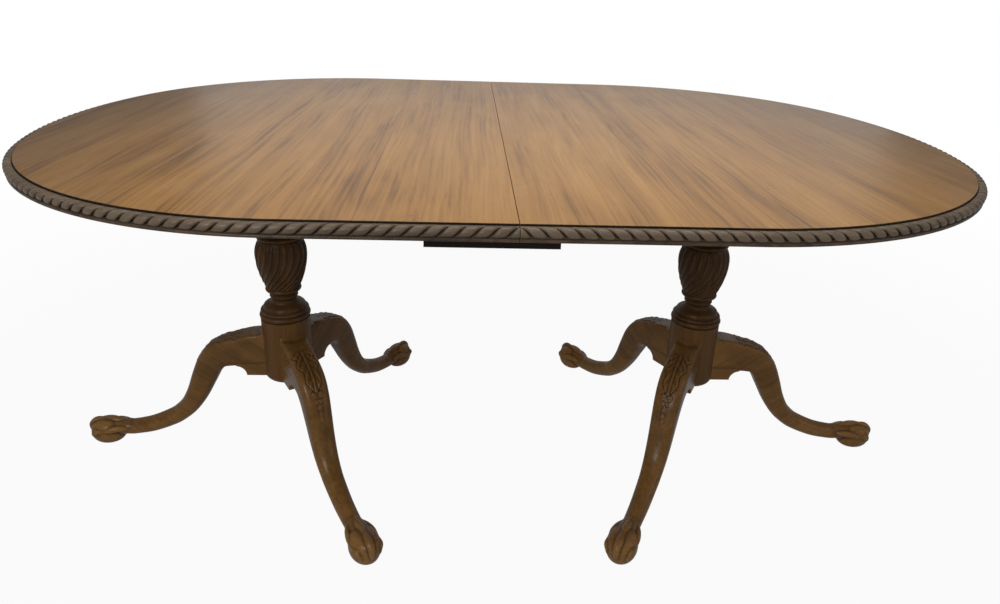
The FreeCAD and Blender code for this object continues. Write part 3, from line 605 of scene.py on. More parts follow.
def board_material(name, turn, tones, roughness):
    """Plain sawn and planed wood for boards with flat faces, rubbed along their edges."""
    finish = sizes("table_finish")
    material, tree, shader = new_material(name)
    coordinates = turned_coordinates(tree, turn)
    colour, height = stained_wood(tree, coordinates, (0.035, 0.012, 0.05), tones, 0.5)
    edge = use_group(tree, "edge_wear", {"Coordinates": coordinates, "Radius": 0.0018})
    colour = tinted(tree, colour, edge["Wear"], 0.45, opaque(finish.worn))
    polish = use_group(tree, "hand_polish", {
        "Coordinates": coordinates, "Roughness": roughness, "Spread": 0.2})
    colour = tinted(tree, colour, polish["Dust"], 0.10, DUST)
    finish_surface(tree, shader, colour, polish["Roughness"], bump(tree, height, 0.0003, 0.7))
    shader.inputs["Specular IOR Level"].default_value = WOOD_GLOSS
    return material


def steel_material():
    """Screw heads, brushed and a little tarnished."""
    finish = sizes("table_finish")
    material, tree, shader = new_material("screw_steel")
    place = add_node(tree, "TexCoord").outputs["Object"]
    tarnish = add_node(tree, "TexNoise", {"Vector": place, "Scale": 260.0, "Detail": 4.0})
    share = between(tree, tarnish.outputs["Fac"], 0.40, 0.68)
    finish_surface(
        tree, shader, mixed(tree, share, opaque(finish.steel), TARNISH),
        between(tree, share, 0.0, 1.0, 0.32, 0.62), bump(tree, tarnish.outputs["Fac"], 0.0002, 0.5))
    shader.inputs["Metallic"].default_value = 1.0
    return material


def shades(colour, dark=0.5, light=1.45):
    """Dark, middle and light socket colours round one colour."""
    return [(*(min(1.0, part * factor) for part in colour), 1.0) for factor in (dark, 1.0, light)]


# Meshes

def new_mesh(name, points, faces, smooth=True):
    """A mesh from points and faces, with its normals turned outwards."""
    mesh = bpy.data.meshes.new(name)
    mesh.from_pydata([tuple(point) for point in points], [], [tuple(face) for face in faces])
    shell = bmesh.new()
    shell.from_mesh(mesh)
    bmesh.ops.recalc_face_normals(shell, faces=shell.faces)
    shell.to_mesh(mesh)
    shell.free()
    if smooth:
        mesh.shade_smooth()
    else:
        mesh.shade_flat()
    return mesh


def skin(mesh):
    """The points and normals of a mesh, a row to each vertex."""
    rows = []
    for name in ("co", "normal"):
        numbers = np.zeros(len(mesh.vertices) * 3)
        mesh.vertices.foreach_get(name, numbers)
        rows.append(numbers.reshape(-1, 3))
    return rows


def mark_hollows(mesh, depths):
    """Stores at each point of a mesh how far it lies under the skin round it."""
    mesh.attributes.new("hollow", "FLOAT", "POINT").data.foreach_set("value", np.ravel(depths))


def put(name, data):
    """A new object in the scene."""
    made = bpy.data.objects.new(name, data)
    bpy.context.scene.collection.objects.link(made)
    return made


def pedestal_place(sign):
    """The foot of a pedestal's axis, on the floor."""
    return Matrix.Translation((sign * PEDESTAL_REACH, 0.0, 0.0))


def dress(name, mesh, material, body, node, place=None):
    """A piece that rides a body and stands for a node of the frame."""
    piece = put(name, mesh)
    if place is not None:
        piece.matrix_world = place
    if not mesh.materials:
        mesh.materials.append(material)
    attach(piece, body)
    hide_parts(node)
    return piece


def ring_faces(rings, around):
    """Quads that join rings of points, each ring with the same number of points."""
    faces = []
    for ring in range(rings - 1):
        for spot in range(around):
            after = (spot + 1) % around
            first, second = ring * around, (ring + 1) * around
            faces.append((first + spot, first + after, second + after, second + spot))
    return faces


def capped(sections):
    """Points and faces of a closed solid through a row of closed sections."""
    rings, around = len(sections), len(sections[0])
    points = np.concatenate(sections)
    faces = ring_faces(rings, around)
    faces.append(tuple(range(around - 1, -1, -1)))
    faces.append(tuple(range((rings - 1) * around, rings * around)))
    return points, faces


def smooth_run(rows, steps):
    """Rows of numbers joined by a Catmull-Rom curve, with steps points to each stretch."""
    rows = np.asarray(rows, float)
    padded = np.vstack([2 * rows[0] - rows[1], rows, 2 * rows[-1] - rows[-2]])
    made = []
    for index in range(1, len(padded) - 2):
        before, here, there, after = padded[index - 1:index + 3]
        for share in np.arange(steps) / steps:
            made.append(0.5 * (
                2 * here + (there - before) * share
                + (2 * before - 5 * here + 4 * there - after) * share ** 2
                + (3 * here - before - 3 * there + after) * share ** 3))
    made.append(rows[-1])
    return np.array(made)


def run_along(points):
    """Length along a line of points, at each of them."""
    return np.concatenate([[0.0], np.cumsum(np.linalg.norm(np.diff(points, axis=0), axis=1))])


def ridge(distance, width):
    """A rounded ridge, one high at no distance and gone a few widths away."""
    return np.exp(-(distance / width) ** 2)


def turn_round(count):
    """Angles once round a circle."""
    return np.arange(count) / count * 2 * math.pi


def top_outline(inset, step):
    """Plan of the right half, front seam to rear seam: points, outward directions and run."""
    top = sizes("table_top")
    corner, end = top.corner_radius, top.end_radius
    corner_in = top.half_width - corner
    end_centre = top.half_length - end
    corner_run = math.sqrt((end - corner) ** 2 - corner_in ** 2)
    straight = end_centre + corner_run
    join = math.atan2(corner_in, corner_run)
    stretches = (
        ((straight, -corner_in), corner, -math.pi / 2, -join),
        ((end_centre, 0.0), end, -join, join),
        ((straight, corner_in), corner, join, math.pi / 2),
    )
    count = max(2, round((straight - top.seam) / step))
    lane = np.linspace(top.seam, straight, count, endpoint=False)
    points = [(x, -top.half_width) for x in lane]
    outward = [(0.0, -1.0)] * count
    for (x, y), radius, start, stop in stretches:
        count = max(2, round(radius * (stop - start) / step))
        for angle in np.linspace(start, stop, count, endpoint=False):
            outward.append((math.cos(angle), math.sin(angle)))
            points.append((x + radius * math.cos(angle), y + radius * math.sin(angle)))
    points += [(x, top.half_width) for x in lane[::-1]]
    outward += [(0.0, 1.0)] * len(lane)
    points, outward = np.array(points), np.array(outward)
    points[-1, 0] = top.seam
    return points - inset * outward, outward, run_along(points)


class TABLE_OT_fields(bpy.types.Operator):
    """Make the veneered fields of the two halves of the top"""

    bl_idname = "table.fields"
    bl_label = "Fields of the top"

    LEAF_WIDTHS = {"left": 0.1975, "right": 0.2225}
    # Painted shade left at each end of the top, deeper at the left end.
    END_SHADES = {"left": 0.45, "right": 0.54}
    PLAN_STEP = 0.006
    # How near counts as the same place, and how much of a normal makes a face level or square.
    NEAR = 1e-6
    LEVEL, SQUARE = 0.99, 0.999

    def execute(self, context):
        top = sizes("table_top")
        plan, _, _ = top_outline(top.edge_width, self.PLAN_STEP)
        rim_tones = shades(sizes("table_finish").recess, 0.8, 2.0)
        rim = board_material("field_rim", LENGTHWISE, rim_tones, 0.5)
        for side, sign in SIDES.items():
            shell = bmesh.new()
            ring = [shell.verts.new((sign * x, y, FIELD_HIGH.z)) for x, y in plan]
            field = shell.faces.new(ring)
            lower = bmesh.ops.extrude_face_region(shell, geom=[field])["geom"]
            drop = Vector((0.0, 0.0, FIELD_LOW.z - FIELD_HIGH.z))
            bmesh.ops.translate(shell, vec=drop,
                                verts=[part for part in lower if isinstance(part, bmesh.types.BMVert)])
            arris = [edge for edge in shell.edges
                     if all(abs(vert.co.z - FIELD_HIGH.z) < self.NEAR for vert in edge.verts)
                     and max(abs(vert.co.x) for vert in edge.verts) > top.seam + self.NEAR]
            bmesh.ops.bevel(shell, geom=arris, offset=top.arris, segments=3, profile=0.5,
                            affect="EDGES")
            bmesh.ops.recalc_face_normals(shell, faces=shell.faces)
            for face in shell.faces:
                upright, across = abs(face.normal.z) < self.LEVEL, abs(face.normal.x) < self.SQUARE
                face.material_index = int(upright and across)
            mesh = bpy.data.meshes.new("field_" + side)
            shell.to_mesh(mesh)
            shell.free()
            material = veneer_material(side, self.LEAF_WIDTHS[side], self.END_SHADES[side])
            mesh.materials.append(material)
            mesh.materials.append(rim)
            dress("field_" + side, mesh, material, side + "_half", "top_" + side)
        return {"FINISHED"}


class TABLE_OT_rope_edges(bpy.types.Operator):
    """Carve the rope round each half of the top, with the plain strip under it"""

    bl_idname = "table.rope_edges"
    bl_label = "Rope edges"

    RUN_STEP = 0.0011
    ROUND_STEPS, FLAT_STEPS = 29, 6
    BEAD_START = math.radians(-82.0)
    STRAND_FADE = 0.0016
    CUT_SHARE, ROUND_SHARE = 0.24, 0.30
    FLAT_FALL = 0.0005
    SOFT = 0.0006
    QUIRK_WIDTH, QUIRK_DEPTH = 0.0010, 0.0022
    # Painted shade: the strip under the rope is darkened, and the cuts between strands darken with their
    # depth.
    STRIP_PAINTED_SHADE = 0.35
    PAINTED_HOLLOW_SHADE = (0.0015, 0.0037, 0.92)

    def plain_parts(self, top):
        """The strip under the bead and the quirk behind it: offset and height."""
        low, high = EDGE_LOW.z, EDGE_HIGH.z
        strip = [
            (-top.edge_width, low),
            (-top.strip_inset - self.SOFT, low),
            (-top.strip_inset, low + self.SOFT),
            (-top.strip_inset, low + top.strip_height - self.SOFT),
            (-top.strip_inset - 2 * self.SOFT, low + top.strip_height),
        ]
        inner = -top.edge_width + self.QUIRK_WIDTH
        quirk = [
            (inner - self.SOFT / 2, high - self.QUIRK_DEPTH),
            (-top.edge_width, high - self.QUIRK_DEPTH),
        ]
        return np.array(strip), np.array(quirk)

    def bead(self, top):
        """The uncut bead, round and then flat: offset and height, way out, and run over it."""
        radius = (EDGE_HIGH.z - EDGE_LOW.z - top.strip_height) / 2
        angles = np.linspace(self.BEAD_START, math.pi / 2, self.ROUND_STEPS)
        flat = np.linspace(0.0, top.edge_width - self.QUIRK_WIDTH - radius, self.FLAT_STEPS)[1:]
        low = np.concatenate([
            radius * (1.0 - np.sin(angles)), self.FLAT_FALL * (flat / flat[-1]) ** 2])
        line = np.column_stack([
            np.concatenate([radius * (np.cos(angles) - 1.0), -radius - flat]), EDGE_HIGH.z - low])
        away = np.column_stack([
            np.concatenate([np.cos(angles), 0.0 * flat]),
            np.concatenate([np.sin(angles), 0.0 * flat + 1.0])])
        return line, away, np.concatenate([radius * angles, radius * math.pi / 2 + flat])

    def execute(self, context):
        top = sizes("table_top")
        plan, outward, run = top_outline(0.0, self.RUN_STEP)
        strip, quirk = self.plain_parts(top)
        line, away, over = self.bead(top)
        held = np.clip(np.minimum(over - over[0], over[-1] - over) / self.STRAND_FADE, 0.0, 1.0)
        held = held * held * (3 - 2 * held)
        sections, depths = [], []
        for point, out, length in zip(plan, outward, run):
            phase = (length + top.strand_lean * over) / top.strand_pitch
            aside = 2 * np.abs(phase - np.round(phase))
            cut = ridge(1.0 - aside, self.CUT_SHARE)
            fall = (1.0 - self.ROUND_SHARE) * cut + self.ROUND_SHARE * aside ** 2
            depth = top.groove_depth * fall * held
            carved = line - away * depth[:, None]
            offset, height = np.concatenate([strip, carved, quirk]).T
            sections.append(np.column_stack([
                point[0] + offset * out[0], point[1] + offset * out[1], height]))
            depths.append(np.concatenate([0.0 * strip[:, 0], depth, 0.0 * quirk[:, 0]]))
        points, faces = capped(sections)
        step = EDGE_LOW.z + top.strip_height
        # Painted shade on the strip under the bead and in the cuts between the strands.
        material = carved_material(
            "edge_wood", LENGTHWISE, shades(sizes("table_finish").edge), 0.33, wear=0.30, depth=0.95,
            painted_height_shade=(step + self.SOFT, step - self.SOFT, self.STRIP_PAINTED_SHADE), hollow=self.PAINTED_HOLLOW_SHADE)
        for side, sign in SIDES.items():
            mesh = new_mesh("rope_" + side, points * (sign, 1.0, 1.0), faces)
            mark_hollows(mesh, depths)
            dress("rope_" + side, mesh, material, side + "_half", "rope_edge_" + side)
        return {"FINISHED"}


class TABLE_OT_columns(bpy.types.Operator):
    """Turn the columns and cut the swirling flutes of their vases"""

    bl_idname = "table.columns"
    bl_label = "Columns"

    POINTS_A_FLUTE = 12
    VASE_STEP = 0.0012
    FLUTE_SHARE = 0.84
    FLUTE_STOP = 0.004
    FLUTE_FULLNESS = 0.62
    END_ROUND = 0.007
    TWIST_DELAY = 2.9
    FOOT_CURVE, HEAD_CURVE = 1.9, 2.3

    def turned(self, outline, steps=6):
        """Radius and height along straight and swelling stretches of a turned outline."""
        made = [outline[0][:2]]
        for (radius, height, _), (next_radius, next_height, swell) in zip(outline, outline[1:]):
            along = np.array((next_radius - radius, next_height - height))
            across = np.array((along[1], -along[0])) / (np.linalg.norm(along) or 1.0)
            count = steps if swell else 1
            for share in np.arange(1, count + 1) / count:
                place = np.array((radius, height)) + along * share
                made.append(tuple(place + across * swell * 4 * share * (1 - share)))
        return made

    def vase(self, column):
        """Radius, height and twist up the vase."""
        heights = np.arange(column.vase_foot, column.vase_head, self.VASE_STEP)
        low = (column.vase_belly - heights) / (column.vase_belly - column.vase_foot)
        high = (heights - column.vase_belly) / (column.vase_head - column.vase_belly)
        radii = np.where(
            heights < column.vase_belly,
            column.belly_radius
            - (column.belly_radius - column.foot_radius) * np.abs(low) ** self.FOOT_CURVE,
            column.belly_radius
            - (column.belly_radius - column.head_radius) * np.abs(high) ** self.HEAD_CURVE)
        fall = (column.vase_head - heights) / (column.vase_head - column.vase_foot)
        return radii, heights, -column.flute_twist * fall ** self.TWIST_DELAY

    def execute(self, context):
        column = sizes("table_column")
        around = column.flutes * self.POINTS_A_FLUTE
        angles = turn_round(around)
        across = (np.arange(around) % self.POINTS_A_FLUTE) / self.POINTS_A_FLUTE * 2 - 1
        sections = []
        for radius, height in self.turned(LOWER_OUTLINE):
            sections.append((np.full(around, radius), HUB_HIGH.z + height, angles - column.flute_twist))
        for radius, height, twist in zip(*self.vase(column)):
            ends = min(height - column.vase_foot, column.vase_head - self.FLUTE_STOP - height)
            near = min(1.0, max(0.0, ends / self.END_ROUND))
            width = self.FLUTE_SHARE * math.sqrt(1.0 - (1.0 - near) ** 2)
            hollow = np.clip(1.0 - (across / max(width, HAIR)) ** 2, 0.0, 1.0) ** self.FLUTE_FULLNESS
            depth = column.flute_depth * width / self.FLUTE_SHARE * radius / column.belly_radius
            sections.append((radius - depth * hollow, height, angles + twist))
        for radius, height in self.turned(UPPER_OUTLINE):
            sections.append((np.full(around, radius), HUB_HIGH.z + height, angles))
        rings = [np.column_stack([r * np.cos(a), r * np.sin(a), np.full(around, z)])
                 for r, z, a in sections]
        points, faces = capped(rings)
        mesh = new_mesh("column", points, faces)
        material = carved_material("column_wood", UPRIGHT, shades(sizes("table_finish").column), 0.36,
                                   wear=0.4, depth=0.9)
        for side, sign in SIDES.items():
            dress("turned_column_" + side, mesh, material, side + "_half",
                  "column_" + side, pedestal_place(sign))
        return {"FINISHED"}


class TABLE_OT_legs(bpy.types.Operator):
    """Shape the legs with carved knees and ball and claw feet"""

    bl_idname = "table.legs"
    bl_label = "Legs"

    AROUND, STEPS = 72, 12
    ROOT_MIDDLE = 0.236
    ROOT_EASE = 0.0008
    COVE_STEPS, HEAD_STEPS, HEAD_SLICES = 7, 9, 15
    HEAD_SINK = 0.0030
    BALL_AROUND, BALL_RINGS, BALL_TILT = 48, 40, 88.0
    BALL_FLAT = 0.0010
    BALL_FULLNESS = 2.5
    TOE_AROUND, TOE_STEPS = 18, 8
    TOE_SIDE = (0.31, 0.87, 0.38)
    SMOOTHING = {"factor": 0.5, "iterations": 3}
    EVEN_PASSES = 36
    ALONG_SHIN = (0.0, 0.6, 0.0)
    # Painted shade: the legs darken from the feet up to the knees for the shade of the top, and darken in
    # their creases and hollows.
    PAINTED_KNEE_SHADE = (0.05, 0.20, 0.66)
    PAINTED_HOLLOW_SHADE = (-0.0005, 0.0008, 0.86)

    # The part of the leg that is carved, and how the carving fades at its head and sides.
    KNEE_NEAR, KNEE_FAR, KNEE_LOW = 0.052, 0.25, 0.08
    CARVING_PARTS = 40
    CARVING_START, CARVING_FADE = 0.030, 0.004
    FACING_START, FACING_SPAN = 0.25, 0.45

    # The leaf: runs down the knee and distances aside, with heights as shares of the relief.
    LEAF_ROOT, LEAF_LENGTH, LEAF_HALF, LEAF_TAPER = 0.028, 0.082, 0.0200, 2.2
    LEAF_FADE, LEAF_EDGE, LEAF_HEIGHT = 0.003, 0.0006, 0.35
    LOBE_SWELL, LOBE_LEAN, LOBE_PITCH = 0.17, 0.4, 0.030
    VEIN_LEAN, VEIN_PITCH, VEIN_HEIGHT = 1.5, 0.0175, 0.55
    BOWL_LEAST, BOWL_CURVE = 0.25, 1.5
    RIB_WIDTH, RIB_HEIGHT = 0.0017, 0.55
    GROOVE_ASIDE, GROOVE_WIDTH, GROOVE_DEPTH = 0.0040, 0.0013, 0.65
    RIM_INSET, RIM_WIDTH, RIM_HEIGHT = 0.0018, 0.0013, 0.55
    CUT_OUTSET, CUT_WIDTH, CUT_DEPTH = 0.0006, 0.0014, 0.85
    # Scrolls under the leaf: run, distance aside, size. Each has a ring round an eye.
    SCROLLS = ((0.114, 0.0062, 0.0054), (0.124, 0.0038, 0.0038))
    RING_SIZE, RING_WIDTH, RING_HEIGHT = 0.62, 0.24, 1.05
    EYE_WIDTH, EYE_HEIGHT = 0.28, 0.8
    # Husks under the scrolls: run, size. Each widens downwards and is split in the middle.
    HUSKS = ((0.135, 0.0054), (0.147, 0.0046), (0.157, 0.0036))
    HUSK_STRETCH, HUSK_WIDTH, HUSK_SPREAD, HUSK_HEIGHT = 1.35, 0.75, 0.3, 1.1
    SPLIT_WIDTH, SPLIT_DEPTH = 0.0009, 0.4

    def limb(self):
        """Points and faces of the curved leg, and its middle line with outward directions."""
        run = smooth_run(LEG_SECTIONS, self.STEPS)
        middle = run[:, :2]
        along = np.gradient(middle, axis=0)
        along /= np.linalg.norm(along, axis=1)[:, None]
        outward = np.column_stack([-along[:, 1], along[:, 0]])
        angles = turn_round(self.AROUND)
        sections = []
        for (x, z, depth, width, square), (out_x, out_z) in zip(run, outward):
            side = np.sign(np.cos(angles)) * np.abs(np.cos(angles)) ** (2 / square)
            face = np.sign(np.sin(angles)) * np.abs(np.sin(angles)) ** (2 / square)
            sections.append(np.column_stack([
                x + out_x * depth / 2 * face, width / 2 * side, z + out_z * depth / 2 * face]))
        return capped(sections), middle, outward

    def bracket(self, leg):
        """Points and faces of the bracket under the root of the leg."""
        inside = LEG_SECTIONS[0][0]
        half = LEG_SECTIONS[0][3] / 2 - self.ROOT_EASE
        end = leg.bracket_reach + leg.bracket_cove
        cove = [(end - leg.bracket_cove * math.cos(angle),
                 leg.bracket_height + leg.bracket_cove * math.sin(angle))
                for angle in np.linspace(0.0, math.pi / 2, self.COVE_STEPS)]
        side = [(inside, leg.bracket_height), *cove, (end, self.ROOT_MIDDLE),
                (inside, self.ROOT_MIDDLE)]
        return capped([np.array([(x, y, z) for x, z in side]) for y in (-half, half)])

    def head(self, leg):
        """Points and faces of the hollow that leads from the top of the leg round the hub."""
        inside, hub = LEG_SECTIONS[0][0], (HUB_HIGH.x - HUB_LOW.x) / 2
        half = LEG_SECTIONS[0][3] / 2 - self.ROOT_EASE
        hollow = leg.head_hollow
        sections = []
        for y in np.linspace(-half, half, self.HEAD_SLICES):
            face = math.sqrt(hub ** 2 - y ** 2) - self.HEAD_SINK
            bend = [(face + hollow - hollow * math.sin(angle), leg.head_height - hollow * math.cos(angle))
                    for angle in np.linspace(0.0, math.pi / 2, self.HEAD_STEPS)]
            side = [(inside, self.ROOT_MIDDLE), (face + hollow, self.ROOT_MIDDLE), *bend,
                    (inside, leg.head_height)]
            sections.append(np.array([(x, y, z) for x, z in side]))
        return capped(sections)

    def tube(self, path, radii):
        """Points and faces of a round bar of changing thickness along a path."""
        path = np.asarray(path, float)
        along = np.gradient(path, axis=0)
        along /= np.linalg.norm(along, axis=1)[:, None]
        angles = turn_round(self.TOE_AROUND)
        sections = []
        for place, direction, radius in zip(path, along, radii):
            flat = np.cross(direction, self.TOE_SIDE)
            flat /= np.linalg.norm(flat)
            tall = np.cross(direction, flat)
            sections.append(place + radius * (np.cos(angles)[:, None] * flat
                                              + np.sin(angles)[:, None] * tall))
        return capped(sections)

    def ball(self, leg):
        """Points and faces of the ball, worn flat where it stands on the floor."""
        centre = leg.ball_radius - self.BALL_FLAT
        stretch = leg.ball_length / 2 / leg.ball_radius
        ring = turn_round(self.BALL_AROUND)
        sections = []
        for tilt in np.radians(np.linspace(-self.BALL_TILT, self.BALL_TILT, self.BALL_RINGS)):
            level, rise = (abs(part) ** (2 / self.BALL_FULLNESS)
                           for part in (math.cos(tilt), math.sin(tilt)))
            flat = leg.ball_radius * level
            height = max(0.0, centre + math.copysign(leg.ball_radius * rise, tilt))
            sections.append(np.column_stack([
                leg.ball_reach + stretch * flat * np.cos(ring), flat * np.sin(ring),
                np.full(self.BALL_AROUND, height)]))
        return capped(sections)

    def toes(self):
        """Points and faces of the toes with their tendons, knuckles and nails."""
        solids = []
        for toe, side in ((FRONT_TOE, 1), (SIDE_TOE, 1), (SIDE_TOE, -1), (HEEL_TOE, 1)):
            line = smooth_run(toe, self.TOE_STEPS)
            solids.append(self.tube(line[:, :3] * (1, side, 1), line[:, 3]))
        return solids

    def blank(self, leg):
        """The leg's solids put together in one mesh, and the leg's middle line."""
        limb, middle, outward = self.limb()
        points, faces = [], []
        for part_points, part_faces in (
                limb, self.bracket(leg), self.head(leg), self.ball(leg), *self.toes()):
            start = sum(len(part) for part in points)
            points.append(part_points)
            faces += [tuple(corner + start for corner in face) for face in part_faces]
        mesh = new_mesh("leg_blank", np.concatenate(points), faces)
        return mesh, middle, outward

    def modified(self, mesh, *modifiers):
        """A new mesh after modifiers, each a kind and its settings."""
        holder = put("leg_holder", mesh)
        for kind, settings in modifiers:
            modifier = holder.modifiers.new(kind.lower(), kind)
            for name, setting in settings.items():
                setattr(modifier, name, setting)
        bpy.context.view_layer.update()
        graph = bpy.context.evaluated_depsgraph_get()
        made = bpy.data.meshes.new_from_object(holder.evaluated_get(graph))
        bpy.data.objects.remove(holder)
        return made

    def leaf(self, run, side):
        """Height of the carved leaf, scrolls and husks at a run down the knee and a distance aside."""
        down = run - self.LEAF_ROOT
        along = np.clip(down / self.LEAF_LENGTH, 0.0, 1.0)
        on = np.clip(down / self.LEAF_FADE, 0.0, 1.0) * (run < self.LEAF_ROOT + self.LEAF_LENGTH)
        waves = np.cos(2 * math.pi * (run - self.LOBE_LEAN * side) / self.LOBE_PITCH)
        lobes = 1.0 + self.LOBE_SWELL * waves
        half = self.LEAF_HALF * np.sqrt(np.clip(1.0 - along ** self.LEAF_TAPER, 0.0, 1.0)) * lobes
        inside = on / (1.0 + np.exp(-(half - side) / self.LEAF_EDGE))
        veins = np.cos(2 * math.pi * (run - self.VEIN_LEAN * side) / self.VEIN_PITCH)
        aside = np.clip(side / np.maximum(half, HAIR), 0.0, 1.0)
        bowl = self.BOWL_LEAST + (1.0 - self.BOWL_LEAST) * aside ** self.BOWL_CURVE
        rib = ridge(side, self.RIB_WIDTH)
        groove = ridge(side - self.GROOVE_ASIDE, self.GROOVE_WIDTH)
        rim = ridge(side - half + self.RIM_INSET, self.RIM_WIDTH) * on
        cut = ridge(side - half - self.CUT_OUTSET, self.CUT_WIDTH)
        height = inside * (self.LEAF_HEIGHT + self.VEIN_HEIGHT * bowl * veins
                           + self.RIB_HEIGHT * rib - self.GROOVE_DEPTH * groove) + self.RIM_HEIGHT * rim
        height -= self.CUT_DEPTH * cut * on
        for middle, apart, size in self.SCROLLS:
            away = np.hypot(run - middle, side - apart) / size
            height += (self.RING_HEIGHT * ridge(away - self.RING_SIZE, self.RING_WIDTH)
                       + self.EYE_HEIGHT * ridge(away, self.EYE_WIDTH))
        for middle, size in self.HUSKS:
            down = (run - middle) / (self.HUSK_STRETCH * size)
            across = side / (size * (self.HUSK_WIDTH + self.HUSK_SPREAD * down))
            bell = np.clip(1.0 - down ** 2 - across ** 2, 0.0, 1.0)
            split = ridge(side, self.SPLIT_WIDTH)
            height += self.HUSK_HEIGHT * np.sqrt(bell) - self.SPLIT_DEPTH * split * (bell > 0)
        return height

    def carve(self, mesh, middle, outward, leg):
        """Moves the skin of the knee in and out to the carved leaf."""
        points, normals = skin(mesh)
        length = run_along(middle)
        reach, height = points[:, 0], points[:, 2]
        knee = np.flatnonzero(
            (reach > self.KNEE_NEAR) & (reach < self.KNEE_FAR) & (height > self.KNEE_LOW))
        for part in np.array_split(knee, self.CARVING_PARTS):
            gaps = np.hypot(points[part, 0, None] - middle[:, 0], points[part, 2, None] - middle[:, 1])
            near = gaps.argmin(axis=1)
            facing = normals[part, 0] * outward[near, 0] + normals[part, 2] * outward[near, 1]
            hold = np.clip((facing - self.FACING_START) / self.FACING_SPAN, 0.0, 1.0)
            run = length[near] - self.CARVING_START
            start = np.clip(run / self.CARVING_FADE, 0.0, 1.0)
            rise = self.leaf(run, np.abs(points[part, 1])) * hold * start
            points[part] += normals[part] * (leg.relief * rise)[:, None]
        mesh.vertices.foreach_set("co", points.ravel())
        mesh.update()

    def depths(self, mesh):
        """How far each point lies under the evened skin round it."""
        points, normals = skin(mesh)
        count = len(points)
        ends = np.zeros(len(mesh.edges) * 2, int)
        mesh.edges.foreach_get("vertices", ends)
        one, other = ends.reshape(-1, 2).T
        near = np.bincount(one, minlength=count) + np.bincount(other, minlength=count)
        even = points.copy()
        for _ in range(self.EVEN_PASSES):
            total = np.column_stack([
                np.bincount(one, even[other, axis], count) + np.bincount(other, even[one, axis], count)
                for axis in range(3)])
            even = (even + total / near[:, None]) / 2
        return np.einsum("ij,ij->i", even - points, normals)

    def execute(self, context):
        leg = sizes("table_leg")
        blank, middle, outward = self.blank(leg)
        whole = self.modified(
            blank,
            ("REMESH", {"mode": "VOXEL", "voxel_size": leg.carving_step, "use_smooth_shade": True}),
            ("SMOOTH", self.SMOOTHING))
        self.carve(whole, middle, outward, leg)
        mesh = self.modified(whole, ("DECIMATE", {"ratio": leg.faces_kept}))
        mesh.name = "carved_leg"
        mesh.shade_smooth()
        mesh.materials.clear()
        mark_hollows(mesh, self.depths(mesh))
        # Painted shade on the legs: darker toward the knees and in the hollows found by depths.
        material = carved_material(
            "leg_wood", self.ALONG_SHIN, shades(sizes("table_finish").leg, 0.62, 1.3), 0.26,
            painted_height_shade=self.PAINTED_KNEE_SHADE, hollow=self.PAINTED_HOLLOW_SHADE)
        for side, sign in SIDES.items():
            for name, turn in LEG_TURNS.items():
                angle = math.radians(turn if sign > 0 else 180.0 - turn)
                place = pedestal_place(sign) @ Matrix.Rotation(angle, 4, "Z")
                dress(f"carved_leg_{side}_{name}", mesh, material, side + "_half",
                      f"leg_{side}_{name}", place)
        return {"FINISHED"}


class TABLE_OT_underframe(bpy.types.Operator):
    """Finish the hubs, bearers, runners, rests, dowels and screws"""

    bl_idname = "table.underframe"
    bl_label = "Hubs and underframe"

    def execute(self, context):
        finish = sizes("table_finish")
        dark = shades(finish.hub, 0.6, 1.35)
        plain = shades(finish.runner, 0.62, 1.3)
        finishes = {
            "hub": board_material("hub_wood", UPRIGHT, dark, 0.38),
            "bearer": board_material("bearer_wood", CROSSWISE, plain, 0.58),
            "runner": board_material("runner_wood", LENGTHWISE, plain, 0.55),
            "slide_keys": board_material("key_wood", LENGTHWISE, shades(finish.runner, 0.5, 1.2), 0.45),
            # The rests are a dark stain made near black, partly as painted shade under the top.
            "seam_rest": board_material("rest_wood", LENGTHWISE, shades(finish.recess, 0.8, 2.5), 0.5),
            "seam_dowels": board_material("dowel_wood", LENGTHWISE, shades(finish.runner, 0.8, 1.5), 0.5),
            "runner_tie": board_material("tie_wood", CROSSWISE, plain, 0.58),
            "screws": steel_material(),
        }
        for name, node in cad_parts.items():
            if node.hide_render:
                continue
            kinds = [kind for kind in finishes if kind in name]
            if not kinds:
                raise RuntimeError(f"no finish is given for {name}")
            material = finishes["screws" if "screws" in kinds else max(kinds, key=len)]
            node.data.materials.clear()
            node.data.materials.append(material)
        return {"FINISHED"}


